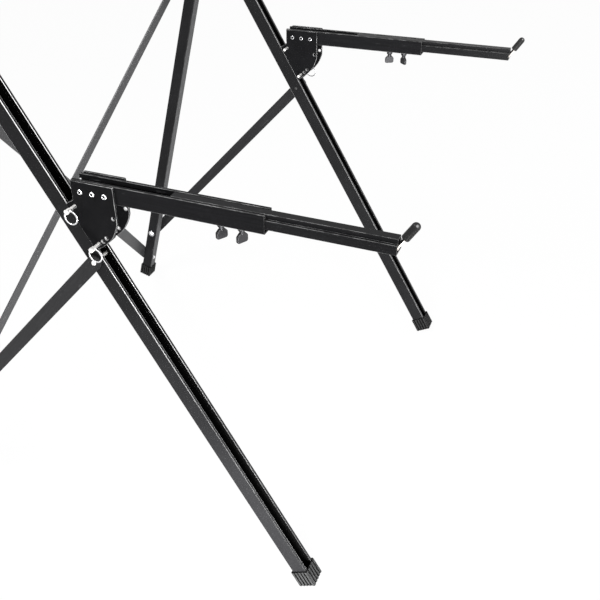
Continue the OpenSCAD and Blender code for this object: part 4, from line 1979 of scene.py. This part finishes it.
    def _fasteners(self) -> None:
        """Bolts, nuts, spacers and the rivet of the crossed bars."""
        plane = self.stand.on_rear_plane()
        spin = plane.to_3x3().to_4x4() @ REARWARD
        width = self.stand.tube_w
        front_face = width + self.cross_t
        rear_face = front_face + self.cross_gap + self.cross_t
        half_x = self.stand.frame_spacing / 2
        zinc = self.finishes.zinc
        shells = Shells()
        for face, hand in ((front_face, -1), (rear_face, 1)):
            part = self._cross_bolt(spin, face)
            if hand > 0:
                radius, bore = self._spacer()
                add_washer(part, spin, width, face - self.cross_t, radius, bore)
            low = plane @ Vector((-hand * half_x, 0, self.cross_low))
            high = plane @ Vector((hand * half_x, 0, self.cross_high))
            with self.shop.lent(part, zinc) as row:
                shells.take(row(2, low, high - low), Matrix.Identity(4))
        centre = plane @ shift(0, 0, (self.cross_low + self.cross_high) / 2) @ REARWARD
        gap_end = front_face + self.cross_gap
        add_washer(shells, centre, front_face, gap_end, *self._spacer())
        shells.lathe(self._rivet(width, rear_face), centre, 32)
        fasteners = shells.piece("crossed_flat_fasteners", zinc)
        self.shop.fit(fasteners, self.body, "zinc_steel", "cross_bar_fasteners")

    @property
    def _cross_head_r(self) -> float:
        """Radius of the crossed bars' bolt heads."""
        return self.cross_bolt_d * 1.05

    def _spacer(self) -> Point:
        """Radius and bore of the crossed bars' spacers."""
        return self._cross_head_r * 1.2, self.cross_bolt_d / 2 + SNUG

    def _cross_bolt(self, spin: Matrix, face: float) -> Shells:
        """A bolt through the tube and a bar, with its nut on the bar's face."""
        head_r, nut_h = self._cross_head_r, self.cross_bolt_d * 0.8
        flats, chamfer = hex_reach(head_r * 0.85), hex_reach(head_r * 0.8)
        part = Shells()
        head = head_profile(head_r, self.cross_bolt_d * 0.5, Socket.NONE)
        part.lathe([(r, -h) for r, h in head], spin, 32)
        tip = face + nut_h + 2
        shank = shank_profile(self.cross_bolt_d / 2, tip, -1.0)
        part.lathe(shank[::-1], spin, 24)
        nut = [
            (chamfer, face), (flats, face + 0.3), (flats, face + nut_h - 0.3),
            (chamfer, face + nut_h),
        ]
        part.lathe(nut, spin, 48)
        return part

    def _rivet(self, front: float, rear: float) -> list[tuple[Radius, float]]:
        """Profile of the rivet between the bars' outer faces."""
        head_r, radius = self._cross_head_r, self.cross_bolt_d / 2
        return [
            (0.0, front - 2), (head_r * 0.7, front - 1.8), (head_r, front - 0.6),
            (head_r, front), (radius, front), (radius, rear), (head_r, rear),
            (head_r, rear + 0.6), (head_r * 0.7, rear + 1.8), (0.0, rear + 2),
        ]


@dataclass
class SideUnit:
    """Pieces of one side frame, and what making them takes."""

    stand: Stand
    finishes: FinishBook
    shop: Workshop
    side: Side

    body = ""

    def named(self, word: str) -> str:
        """A name on this side."""
        return f"{self.side.label}_{word}"

    def dress(
        self,
        shells: Shells,
        word: str,
        finish: Material,
        slot: str,
        node: str,
        trim: Material | None = None,
        body: str | None = None,
    ) -> None:
        """Finish a piece and fit it.

        Args:
            shells: The piece's shells.
            word: The piece's name without its side.
            finish: Its material.
            slot: The record's material slot of its finish.
            node: The solid that it replaces, without its side.
            trim: Material of its rims and bends, when it differs.
            body: The body that carries it, when it isn't the unit's own.
        """
        piece = shells.piece(self.named(word), finish, trim)
        self.shop.fit(piece, self.named(body or self.body), slot, self.named(node))

    def round_off(
        self,
        node: str,
        word: str,
        finish: Material,
        edge: float,
        slot: str,
        body: str | None = None,
    ) -> None:
        """Fit a copy of a solid with round edges in its place.

        Args:
            node: The solid's name without its side.
            word: The piece's name without its side.
            finish: Its material.
            edge: Radius of the edges in millimetres.
            slot: The record's material slot of its finish.
            body: The body that carries it, when it isn't the unit's own.
        """
        solid = self.shop.nodes[self.named(node)]
        piece = softened(solid, self.named(word), finish, edge)
        self.shop.fit(piece, self.named(body or self.body), slot, self.named(node))


@dataclass
class FrontFrame(SideUnit):
    """A folding front leg with its cap, pivot block and bolts."""

    rail_wall: float = 2.5
    rail_slot: float = 20.0
    rail_return: float = 8.0
    return_wall: float = 1.8
    block_d: float = 16.0
    block_screw_d: float = 6.0
    brace_bolt_d: float = 6.0
    apex_bolt_d: float = 8.0

    body = "front_frame"

    def build(self) -> None:
        """Build and fit every piece of the front frame."""
        place = self.stand.on_front_leg(self.side)
        self._leg(place)
        self.round_off(
            "pivot_block", "block", self.finishes.block, 0.9, "block_plastic"
        )
        self._screws(place)
        self._bolts(place)

    def _leg(self, place: Matrix) -> None:
        """The lipped rail and its cap."""
        stand, finishes = self.stand, self.finishes
        start = stand.cap_start(stand.rail_w, stand.front_lean)
        nose = stand.apex_offset - stand.tube_w / 2 - 1
        over = sqrt(nose * nose - stand.rail_w * stand.rail_w / 4)
        section = lipped_section(
            stand.rail_w,
            stand.rail_w,
            self.rail_wall,
            self.rail_slot,
            self.rail_return,
            self.return_wall,
        )
        shells = Shells()
        shells.prism(
            [section], start + stand.cap_floor, stand.apex_up + over, place, 0.3
        )
        self.dress(
            shells,
            "front_rail",
            finishes.front_leg,
            "leg_paint",
            "front_leg",
            finishes.leg_trims[self.side],
        )
        cap = FootCap(stand, stand.rail_w, start).build(
            self.shop, self.named("front_cap"), place, finishes.front_cap
        )
        self.shop.fit(
            cap, self.named(self.body), "cap_plastic", self.named("front_foot")
        )

    def _screws(self, place: Matrix) -> None:
        """The two screws that hold the block from behind."""
        stand = self.stand
        spin = place.to_3x3().to_4x4() @ REARWARD
        tip = stand.rail_w - self.rail_wall - self.block_d
        part = Shells()
        part.lathe(shank_profile(self.block_screw_d / 2, tip, stand.rail_w), spin, 24)
        head = head_profile(self.block_screw_d * 0.85, 3.0, Socket.CROSS)
        part.lathe([(r, h + stand.rail_w) for r, h in head], spin, 48)
        first, last = (
            place @ Vector((0, 0, stand.pivot_up - stand.index_r * share))
            for share in (0.25, 0.75)
        )
        zinc = self.finishes.zinc
        shells = Shells()
        with self.shop.lent(part, zinc) as row:
            shells.take(row(2, first, last - first), Matrix.Identity(4))
        self.dress(shells, "rear_screws", zinc, "zinc_steel", "block_screws")

    def _bolts(self, place: Matrix) -> None:
        """The brace's front bolt and the apex pivot."""
        stand, finishes = self.stand, self.finishes
        half = stand.rail_w / 2
        diameter = self.brace_bolt_d
        outer = stand.brace_in + stand.brace_t + LOOSE
        spot = place @ shift(0, half, stand.brace_up)
        bolt = ThroughBolt(-half, outer, diameter, diameter * 0.75, 3.5)
        shells, nut = Shells(), Shells()
        bolt.add_to(shells, spot, nut)
        end = stand.brace_in - LOOSE
        add_washer(shells, spot @ OUTWARD, half, end, diameter, diameter / 2 + LOOSE)
        self.dress(shells, "hinge_bolt", finishes.nickel, "bright_steel", "brace_bolt")
        self.dress(nut, "hinge_nut", finishes.plug, "block_plastic", "brace_bolt")
        face = half + stand.side_gap + stand.cheek_t + LOOSE
        diameter = self.apex_bolt_d
        bolt = ThroughBolt(-face, face, diameter, diameter * 0.9, 5.0, Socket.HEX)
        shells = Shells()
        bolt.add_to(shells, place @ shift(0, half, stand.apex_up))
        self.dress(shells, "apex_bolt", finishes.chrome, "bright_steel", "apex_pivot")


@dataclass
class SideBrace(SideUnit):
    """The flat brace that hooks over the rear stud."""

    body = "brace"

    def build(self) -> None:
        """Round the brace's edges and fit it."""
        self.round_off(
            "side_brace", "hooked_flat", self.finishes.brace, 0.6, "brace_paint"
        )


@dataclass
class SupportArm(SideUnit):
    """An arm: quadrant plates, rail, screws and spacers."""

    plate_t: float = 4.0
    plate_top: float = 46.0
    plate_front: float = 78.5
    plate_round: float = 80.5
    plate_back: float = 1.5
    plate_tab: float = 10.0
    tab_gap: float = 2.0
    pivot_hole_r: float = 3.25
    screw_hole_r: float = 2.6
    screw_d: float = 5.0
    screw_head_d: float = 9.4
    arm_w: float = 29.0
    arm_h: float = 32.5
    arm_low: float = 12.9
    arm_len: float = 338.5
    arm_back: float = 4.5
    arm_wall: float = 2.0
    arm_slot: float = 17.0
    arm_return: float = 8.6

    body = "arm"

    @property
    def place(self) -> Matrix:
        """The arm's axes."""
        return self.stand.on_arm(self.side)

    @property
    def top(self) -> float:
        """Height of the rail's top."""
        return self.arm_low + self.arm_h

    @property
    def plate_in(self) -> float:
        """Where the plates' inner faces are, out from the arm's middle."""
        return self.stand.rail_w / 2 + self.stand.side_gap

    def build(self) -> None:
        """Build and fit every piece of the arm."""
        self._plates()
        self._rail()
        self._screws()
        self.round_off(
            "clamp_nuts", "square_nuts", self.finishes.zinc, 0.4, "zinc_steel"
        )

    def _outline(self) -> Loop:
        """Outline of a quadrant plate, out along the arm and up."""
        down = self.stand.leg_down
        lean = radians(down)

        def leg(x: float, y: float) -> Point:
            """A place on the leg's own axes."""
            return (x * cos(lean) - y * sin(lean), x * sin(lean) + y * cos(lean))

        lip = self.tab_gap - self.stand.pin_fwd
        notch = (self.plate_tab * cos(lean) - self.plate_back) / -sin(lean)
        end = degrees(acos(self.plate_front / self.plate_round))
        curve = arc((0, 0), self.plate_round, down, -end, 36)
        corners = [
            (self.plate_front, self.plate_top, 2.0),
            (-self.plate_back, self.plate_top, 2.0),
            (*leg(-self.plate_tab, notch), 3.0), (*leg(-self.plate_tab, lip), 3.0),
            (*leg(self.plate_round, lip), 2.5),
        ]
        return rounded(corners + [(x, y, 0.0) for x, y in curve])

    def _plates(self) -> None:
        """The two plates with their separate index holes."""
        stand, finishes = self.stand, self.finishes
        holes = [round_hole((0, 0), self.pivot_hole_r)]
        holes += [round_hole(place, stand.hole_r) for place in stand.index_holes]
        holes += [round_hole(place, self.screw_hole_r) for place in stand.plate_screws]
        for word, start in (
            ("outer", self.plate_in), ("inner", -self.plate_in - self.plate_t)
        ):
            shells = Shells()
            shells.prism(
                [self._outline(), *holes],
                start,
                start + self.plate_t,
                self.place @ ARM_SHEET,
                0.55,
            )
            self.dress(
                shells,
                f"{word}_quadrant",
                finishes.plate,
                "plate_paint",
                f"{word}_plate",
                finishes.plate_trim,
            )

    def _rail(self) -> None:
        """The arm rail, open on top."""
        section = lipped_section(
            self.arm_w,
            self.arm_h,
            self.arm_wall,
            self.arm_slot,
            self.arm_return,
            self.arm_wall,
        )
        shells = Shells()
        shells.prism(
            [[(x, self.top - y) for x, y in section]],
            -self.arm_back,
            self.arm_len - self.arm_back,
            self.place @ ARM_BAR,
            0.35,
        )
        finishes = self.finishes
        self.dress(
            shells,
            "arm_channel",
            finishes.arm,
            "plate_paint",
            "arm_rail",
            finishes.arm_trim,
        )

    def _screws(self) -> None:
        """The row of plate screws and the spacers between plate and rail."""
        stand, finishes = self.stand, self.finishes
        axes = self.place.to_3x3().to_4x4()
        out = self.plate_in + self.plate_t
        screw, spacer = Shells(), Shells()
        ThroughBolt(
            -out, out, self.screw_d, self.screw_head_d / 2, 3.0, Socket.CROSS
        ).add_to(screw, axes)
        radius, bore = self.screw_head_d * 0.8, self.screw_d / 2 + SNUG
        for start, end in (
            (self.arm_w / 2, self.plate_in), (-self.plate_in, -self.arm_w / 2)
        ):
            add_washer(spacer, axes @ OUTWARD, start, end, radius, bore)
        first = self.place @ Vector((0, -stand.screw_first, stand.screw_rise))
        step = axes @ Vector((0, -stand.screw_pitch, 0))
        for part, word, finish, slot, node in (
            (screw, "plate_screw_row", finishes.plate_screw, "bright_steel", "screws"),
            (spacer, "spacer_row", finishes.plug, "block_plastic", "spacers"),
        ):
            shells = Shells()
            with self.shop.lent(part, finish) as row:
                shells.take(row(stand.screw_count, first, step), Matrix.Identity(4))
            self.dress(shells, word, finish, slot, f"plate_{node}")


@dataclass
class SlideUnit(SideUnit):
    """The pull-out slide with its folding peg."""

    arm: SupportArm
    slide_start: float = 175.0
    slide_len: float = 355.5
    slide_h: float = 15.9
    slide_wall: float = 2.0
    slide_gap: float = 0.3
    neck_gap: float = 0.9
    neck_drop: float = 0.7
    peg_angle: float = 58.0
    peg_inset: float = 3.2
    peg_rise: float = 5.7
    rod_d: float = 5.0
    pin_d: float = 3.0
    sleeve_start: float = 20.0
    sleeve_len: float = 31.5
    sleeve_d: float = 13.0
    # direction of the tip's painted highlight from the tip's centre
    tip_wear: tuple[float, float, float] = (-0.9, -0.6, 0.8)

    body = "slide_unit"
    # where each peg rod's painted shade starts
    black_from = {Side.LEFT: -0.3, Side.RIGHT: -1.2}

    @property
    def width(self) -> float:
        """Width of the slide."""
        return self.arm.arm_w - 2 * self.arm.arm_wall - 2 * self.slide_gap

    @property
    def low(self) -> float:
        """Height of the slide's underside."""
        return self.arm.top - self.arm.arm_return - 2 * LOOSE - self.slide_h

    def build(self) -> None:
        """Build and fit the slide and its peg."""
        self._slide()
        out = self.slide_start + self.slide_len - self.peg_inset
        spot = self.arm.place @ shift(0, -out, self.low + self.peg_rise)
        self._pin(spot)
        axis = spot @ turn("X", 90 - self.peg_angle)
        tip = self.sleeve_start + self.sleeve_len - self.sleeve_d / 2
        self._rod(axis, tip - 2)
        self._sleeve(axis, tip)

    def _section(self) -> list[Loop]:
        """Outline and bore of the T-shaped slide."""
        a = self.width / 2
        b = self.arm.arm_slot / 2 - self.neck_gap
        high = self.slide_h + self.arm.arm_return + 2 * LOOSE - self.neck_drop

        def tee(d: float, soft: float, inner: float) -> Loop:
            """The section, moved in by a distance."""
            right = [
                (a - d, d, soft), (a - d, self.slide_h - d, soft),
                (b - d, self.slide_h - d, inner), (b - d, high - d, soft),
            ]
            return [(x, y + self.low) for x, y in rounded(right + mirrored(right))]

        return [tee(0.0, 1.2, 0.5), tee(self.slide_wall, 0.4, 0.8)]

    def _slide(self) -> None:
        """The hollow slide."""
        end = self.slide_start + self.slide_len
        shells = Shells()
        shells.prism(
            self._section(), self.slide_start, end, self.arm.place @ ARM_BAR, 0.35
        )
        finishes = self.finishes
        self.dress(
            shells,
            "tee_slide",
            finishes.slide,
            "slide_paint",
            "slide",
            finishes.arm_trim,
        )

    def _pin(self, spot: Matrix) -> None:
        """The pin across the slide's end."""
        half, radius = self.width / 2 - 0.05, self.pin_d / 2
        rim = 0.3
        profile = [
            (0.0, -half), (radius - rim, -half), (radius, rim - half),
            (radius, half - rim), (radius - rim, half), (0.0, half),
        ]
        shells = Shells()
        shells.lathe(profile, spot @ OUTWARD, 24)
        self.dress(shells, "peg_hinge", self.finishes.zinc, "zinc_steel", "peg_pin")

    def _rod(self, axis: Matrix, end: float) -> None:
        """The rod with its eye on the pin."""
        radius, pin_r = self.rod_d / 2, self.pin_d / 2
        wide = radius + 0.5
        eye = self.peg_rise - self.slide_wall - self.stand.side_gap
        shells = Shells()
        add_washer(shells, axis @ OUTWARD, -wide, wide, eye, pin_r + SNUG)
        profile = [(radius * 0.8, pin_r + 0.6), (radius, pin_r + 1.4), (radius, end)]
        shells.lathe(profile, axis, 28)
        # its finish paints a black shade along the rod's back
        steel = RodSteel(
            f"{self.side.label} peg steel",
            Axes(axis.to_translation(), self.stand.arm_slope + 90 - self.peg_angle),
            self.black_from[self.side],
        ).build()
        self.dress(shells, "peg_shank", steel, "bright_steel", "peg_rod", body="peg")

    def _sleeve(self, axis: Matrix, tip: float) -> None:
        """The rubber sleeve with its round tip."""
        start, radius = self.sleeve_start, self.sleeve_d / 2
        bore = self.rod_d / 2 + LOOSE
        profile = [
            (0.0, tip - 2 + LOOSE), (bore, tip - 2 + LOOSE), (bore, start + 0.5),
            (bore + 0.5, start), (radius - 1.2, start), (radius - 0.35, start + 0.35),
            (radius, start + 1.2),
        ]
        ball = [radians(a) for a in range(0, 90, 9)]
        profile += [(radius * cos(a), tip + radius * sin(a)) for a in ball]
        shells = Shells()
        shells.lathe([*profile, (0.0, tip + radius)], axis, 40)
        # the spot of the tip's painted highlight
        spot = axis @ Vector((0, 0, tip))
        spot += Vector(self.tip_wear).normalized() * radius * MM
        rubber = GripRubber(f"{self.side.label} peg sleeve rubber", spot).build()
        self.dress(shells, "peg_grip", rubber, "peg_rubber", "peg_sleeve", body="peg")


@dataclass
class ThumbScrew(SideUnit):
    """A thumb screw under the arm rail."""

    slide: SlideUnit
    word: str
    index: int
    twist: float
    first: float = 256.0
    pitch: float = 34.5
    shank_d: float = 6.0
    collar_d: float = 13.0
    collar_h: float = 8.0
    waist_h: float = 7.0
    paddle_w: float = 20.0
    paddle_h: float = 17.0
    paddle_t: float = 5.5
    gap: float = 0.3

    def build(self) -> None:
        """Build and fit the screw."""
        arm = self.slide.arm
        out = self.first + self.index * self.pitch
        spot = arm.place @ shift(0, -out, arm.arm_low) @ turn("Z", self.twist)
        shells = Shells()
        self._add_shank(shells, spot, self.slide.low - arm.arm_low - self.gap)
        low = -self.gap - self.collar_h
        self._add_collar(shells, spot, -self.gap, low)
        shells.prism(
            [self._paddle()],
            -self.paddle_t / 2,
            self.paddle_t / 2,
            spot @ shift(0, 0, low - self.waist_h / 2) @ turn("X", 90),
            1.6,
            5,
        )
        name = f"{self.word}_thumb"
        self.dress(
            shells,
            f"{name}_turner",
            self.finishes.cast,
            "thumb_metal",
            f"{name}_screw",
            body=name,
        )

    def _add_shank(self, shells: Shells, spot: Matrix, tip: float) -> None:
        """Add the shank with its wound thread."""
        radius = self.shank_d / 2
        core = radius * 0.9
        profile = [
            (0.0, -self.gap), (core, -self.gap), (core, tip - 0.6),
            (radius * 0.75, tip), (0.0, tip),
        ]
        shells.lathe(profile, spot, 24)
        thread = self.shop.grow(
            self.shop.thread,
            Turns=7.0,
            Radius=core,
            Length=tip - 1.2,
            Ridge=radius * 0.1,
            Finish=self.finishes.cast,
        )
        shells.take(thread, spot @ shift(0, 0, 0.2))

    def _add_collar(self, shells: Shells, spot: Matrix, top: float, low: float) -> None:
        """Add the collar and the waist below it."""
        r, waist = self.collar_d / 2, self.paddle_t / 2 + 1.5
        foot = low - self.waist_h
        profile = [
            (0.0, top), (r - 0.8, top), (r - 0.2, top - 0.3), (r, top - 1.0),
            (r, low + 2.2), (r - 0.5, low + 1.0), (r - 2.0, low + 0.2),
            (waist + 0.4, low - 0.4), (waist, low - 1.4),
            (waist, foot + 1.0), (0.0, foot),
        ]
        shells.lathe(profile, spot, 36)

    def _paddle(self) -> Loop:
        """Outline of the flat paddle, hanging below its origin."""
        a, h = self.paddle_w / 2, self.paddle_h
        right = [(a, -h, h * 0.22), (a, -h * 0.32, 2.4), (a * 0.5, 0, 2.0)]
        left = mirrored(right)
        return rounded([left[-1], *right, *left[:-1]], 7)


@dataclass
class RingPin(SideUnit):
    """A pin that holds the arm, with its pull ring."""

    word: str
    up: float
    pin_out: float = 40.0
    head_l: float = 5.0
    head_d: float = 8.5
    ring_r: float = 12.0
    ring_wire: float = 2.7
    ring_hang: float = 22.8
    # where the pin's painted reflection lies across it, and the lean of its axes
    streak: Point = (-1.6, 2.0)
    streak_lean: float = 36.3

    def build(self) -> None:
        """Build and fit the pin and its ring."""
        place = self.stand.on_pin(self.side, self.up)
        pin, ring = f"{self.word}_pin", f"{self.word}_ring"
        nickel = PinNickel(
            f"{self.named(pin)} nickel",
            Axes(place.to_translation(), self.streak_lean),
            self.streak,
            self.pin_out - self.head_l,
        ).build()
        self.round_off(pin, f"{pin}_shaft", nickel, 0.9, "bright_steel", f"{pin}_unit")
        chrome = self.finishes.chrome
        sag = self.ring_r - sqrt(self.ring_r**2 - self.head_d**2 / 4)
        axis = (
            place
            @ shift(self.pin_out, 0, 0)
            @ turn("X", -self.ring_hang)
            @ shift(0, 0, sag / 2 - self.ring_r)
            @ OUTWARD
        )
        shells = Shells()
        mesh = self.shop.grow(
            self.shop.ring, Radius=self.ring_r, Wire=self.ring_wire / 2, Finish=chrome
        )
        shells.take(mesh, axis)
        self.dress(
            shells, f"{ring}_loop", chrome, "bright_steel", ring, body=f"{ring}_unit"
        )


# Picture


@dataclass(frozen=True)
class Softbox:
    """A large soft lamp."""

    name: str
    place: Triple
    target: Triple
    size: Point
    power: float
    spread: float = 180.0

    def build(self) -> None:
        """Add the lamp, turned to its target."""
        lamp = bpy.data.lights.new(self.name, "AREA")
        lamp.spread = radians(self.spread)
        lamp.shape = "RECTANGLE"
        lamp.size, lamp.size_y = self.size
        lamp.energy = self.power
        made = bpy.data.objects.new(self.name, lamp)
        aim = Vector(self.target) - Vector(self.place)
        facing = aim.to_track_quat("-Z", "Y").to_matrix().to_4x4()
        made.matrix_world = Matrix.Translation(self.place) @ facing
        bpy.context.scene.collection.objects.link(made)


@dataclass
class Studio:
    """Camera, pale floor, white surroundings and soft lamps."""

    eye: Triple = (-1.36933, -0.76638, 1.34028)
    right: Triple = (0.4193789, -0.9055516, -0.06401277)
    up: Triple = (0.50212611, 0.17264344, 0.84738634)
    lens: float = 47.07
    shift_x: float = 0.0849
    shift_y: float = -0.0439
    ambient: Colour = (0.42, 0.42, 0.43)
    lamps: tuple[Softbox, ...] = (
        Softbox("key softbox", (-3.2, -1.6, 3.2), (0, 0, 0.5), (2.6, 2.6), 60.0),
        Softbox("fill softbox", (3.0, -2.6, 2.4), (0, 0, 0.6), (2.4, 2.4), 30.0),
        Softbox(
            "low softbox",
            (-1.0, -0.62, 0.12),
            (-0.45, -0.34, 0.12),
            (0.4, 0.25),
            16.0,
            110.0,
        ),
        Softbox("front softbox", (-0.2, -3.4, 0.3), (-0.3, 0.3, 0.6), (2.0, 0.5), 60.0),
        Softbox(
            "front strip", (-2.03, -2.83, 0.82), (-0.45, -0.2, 0.5), (0.5, 1.3), 70.0
        ),
        Softbox(
            "rear strip", (-1.23, 0.7, 2.99), (-0.45, -0.35, 0.75), (1.3, 0.5), 70.0
        ),
    )

    def set_camera(self) -> None:
        """Add the camera at the photographed viewpoint."""
        camera = bpy.data.cameras.new("camera")
        camera.lens = self.lens
        camera.sensor_width = 36.0
        camera.shift_x = self.shift_x
        camera.shift_y = self.shift_y
        camera.clip_end = 60.0
        made = bpy.data.objects.new("camera", camera)
        right, up = Vector(self.right), Vector(self.up)
        axes = Matrix((right, up, right.cross(up))).transposed().to_4x4()
        made.matrix_world = Matrix.Translation(self.eye) @ axes
        bpy.context.scene.collection.objects.link(made)
        bpy.context.scene.camera = made

    def light(self) -> None:
        """Add the surroundings, the floor and the lamps."""
        scene = bpy.context.scene
        scene.view_settings.view_transform = "Standard"
        world = bpy.data.worlds.new("white studio")
        scene.world = world
        world.use_nodes = True
        make = Graph(world.node_tree)
        make.tree.nodes.clear()
        seen = self._seen(make)
        tone = make.node(
            "ShaderNodeMix",
            {"data_type": "RGBA"},
            {0: seen, 6: self.ambient, 7: grey(1.0)},
        )
        sky = make.node("ShaderNodeBackground", inputs={0: tone.outputs[2], 1: 1.0})
        make.node("ShaderNodeOutputWorld", inputs={0: sky.outputs[0]})
        self._floor()
        for lamp in self.lamps:
            lamp.build()

    def _seen(self, make: Graph) -> Value:
        """1 for rays that show the surroundings themselves."""
        path = make.node("ShaderNodeLightPath").outputs
        camera = Value(make, path["Is Camera Ray"])
        glossy = Value(make, path["Is Glossy Ray"])
        clear = Value(make, path["Is Transmission Ray"])
        return camera.most(glossy).most(clear)

    def _floor(self) -> None:
        """A white floor that keeps a soft shadow."""
        reach = 9.0
        mesh = bpy.data.meshes.new("floor")
        ends = ((-1, -1), (1, -1), (1, 1), (-1, 1))
        mesh.from_pydata([(x * reach, y * reach, 0) for x, y in ends], [], [range(4)])
        material = bpy.data.materials.new("white floor")
        material.use_nodes = True
        make = Graph(material.node_tree)
        make.tree.nodes.clear()
        matt = make.node("ShaderNodeBsdfDiffuse", inputs={0: grey(0.8)})
        glow = make.node("ShaderNodeEmission", inputs={0: grey(1.0), 1: 1.0})
        share = self._seen(make) * 0.96
        mix = make.node(
            "ShaderNodeMixShader",
            inputs={0: share, 1: matt.outputs[0], 2: glow.outputs[0]},
        )
        make.node("ShaderNodeOutputMaterial", inputs={0: mix.outputs[0]})
        mesh.materials.append(material)
        new_object("floor", mesh)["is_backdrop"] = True


def corners(box: Sequence) -> list[list[float]]:
    """A box's two corners as plain lists of numbers."""
    return [[float(v) for v in corner] for corner in box]


def main() -> None:
    """Load the stand, dress every sub-assembly and set the picture."""
    logging.basicConfig(level=logging.INFO, format="%(name)s: %(message)s")
    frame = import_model()
    packed = corners(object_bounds())
    studio = Studio()
    studio.set_camera()
    stand = Stand()
    kit = (stand, FinishBook(stand), Workshop(frame["nodes"]))
    RearFrame(*kit).build()
    twists = {Side.LEFT: (32.0, 28.0), Side.RIGHT: (-63.0, 48.0)}
    for side in Side:
        FrontFrame(*kit, side).build()
        SideBrace(*kit, side).build()
        arm = SupportArm(*kit, side)
        arm.build()
        slide = SlideUnit(*kit, side, arm)
        slide.build()
        for index, word in enumerate(("rear", "front")):
            ThumbScrew(*kit, side, slide, word, index, twists[side][index]).build()
        for word, drop in (("pivot", 0.0), ("index", stand.index_r)):
            RingPin(*kit, side, word, stand.pivot_up - drop).build()
    studio.light()
    shown = corners(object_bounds())


if __name__ == "__main__":
    main()
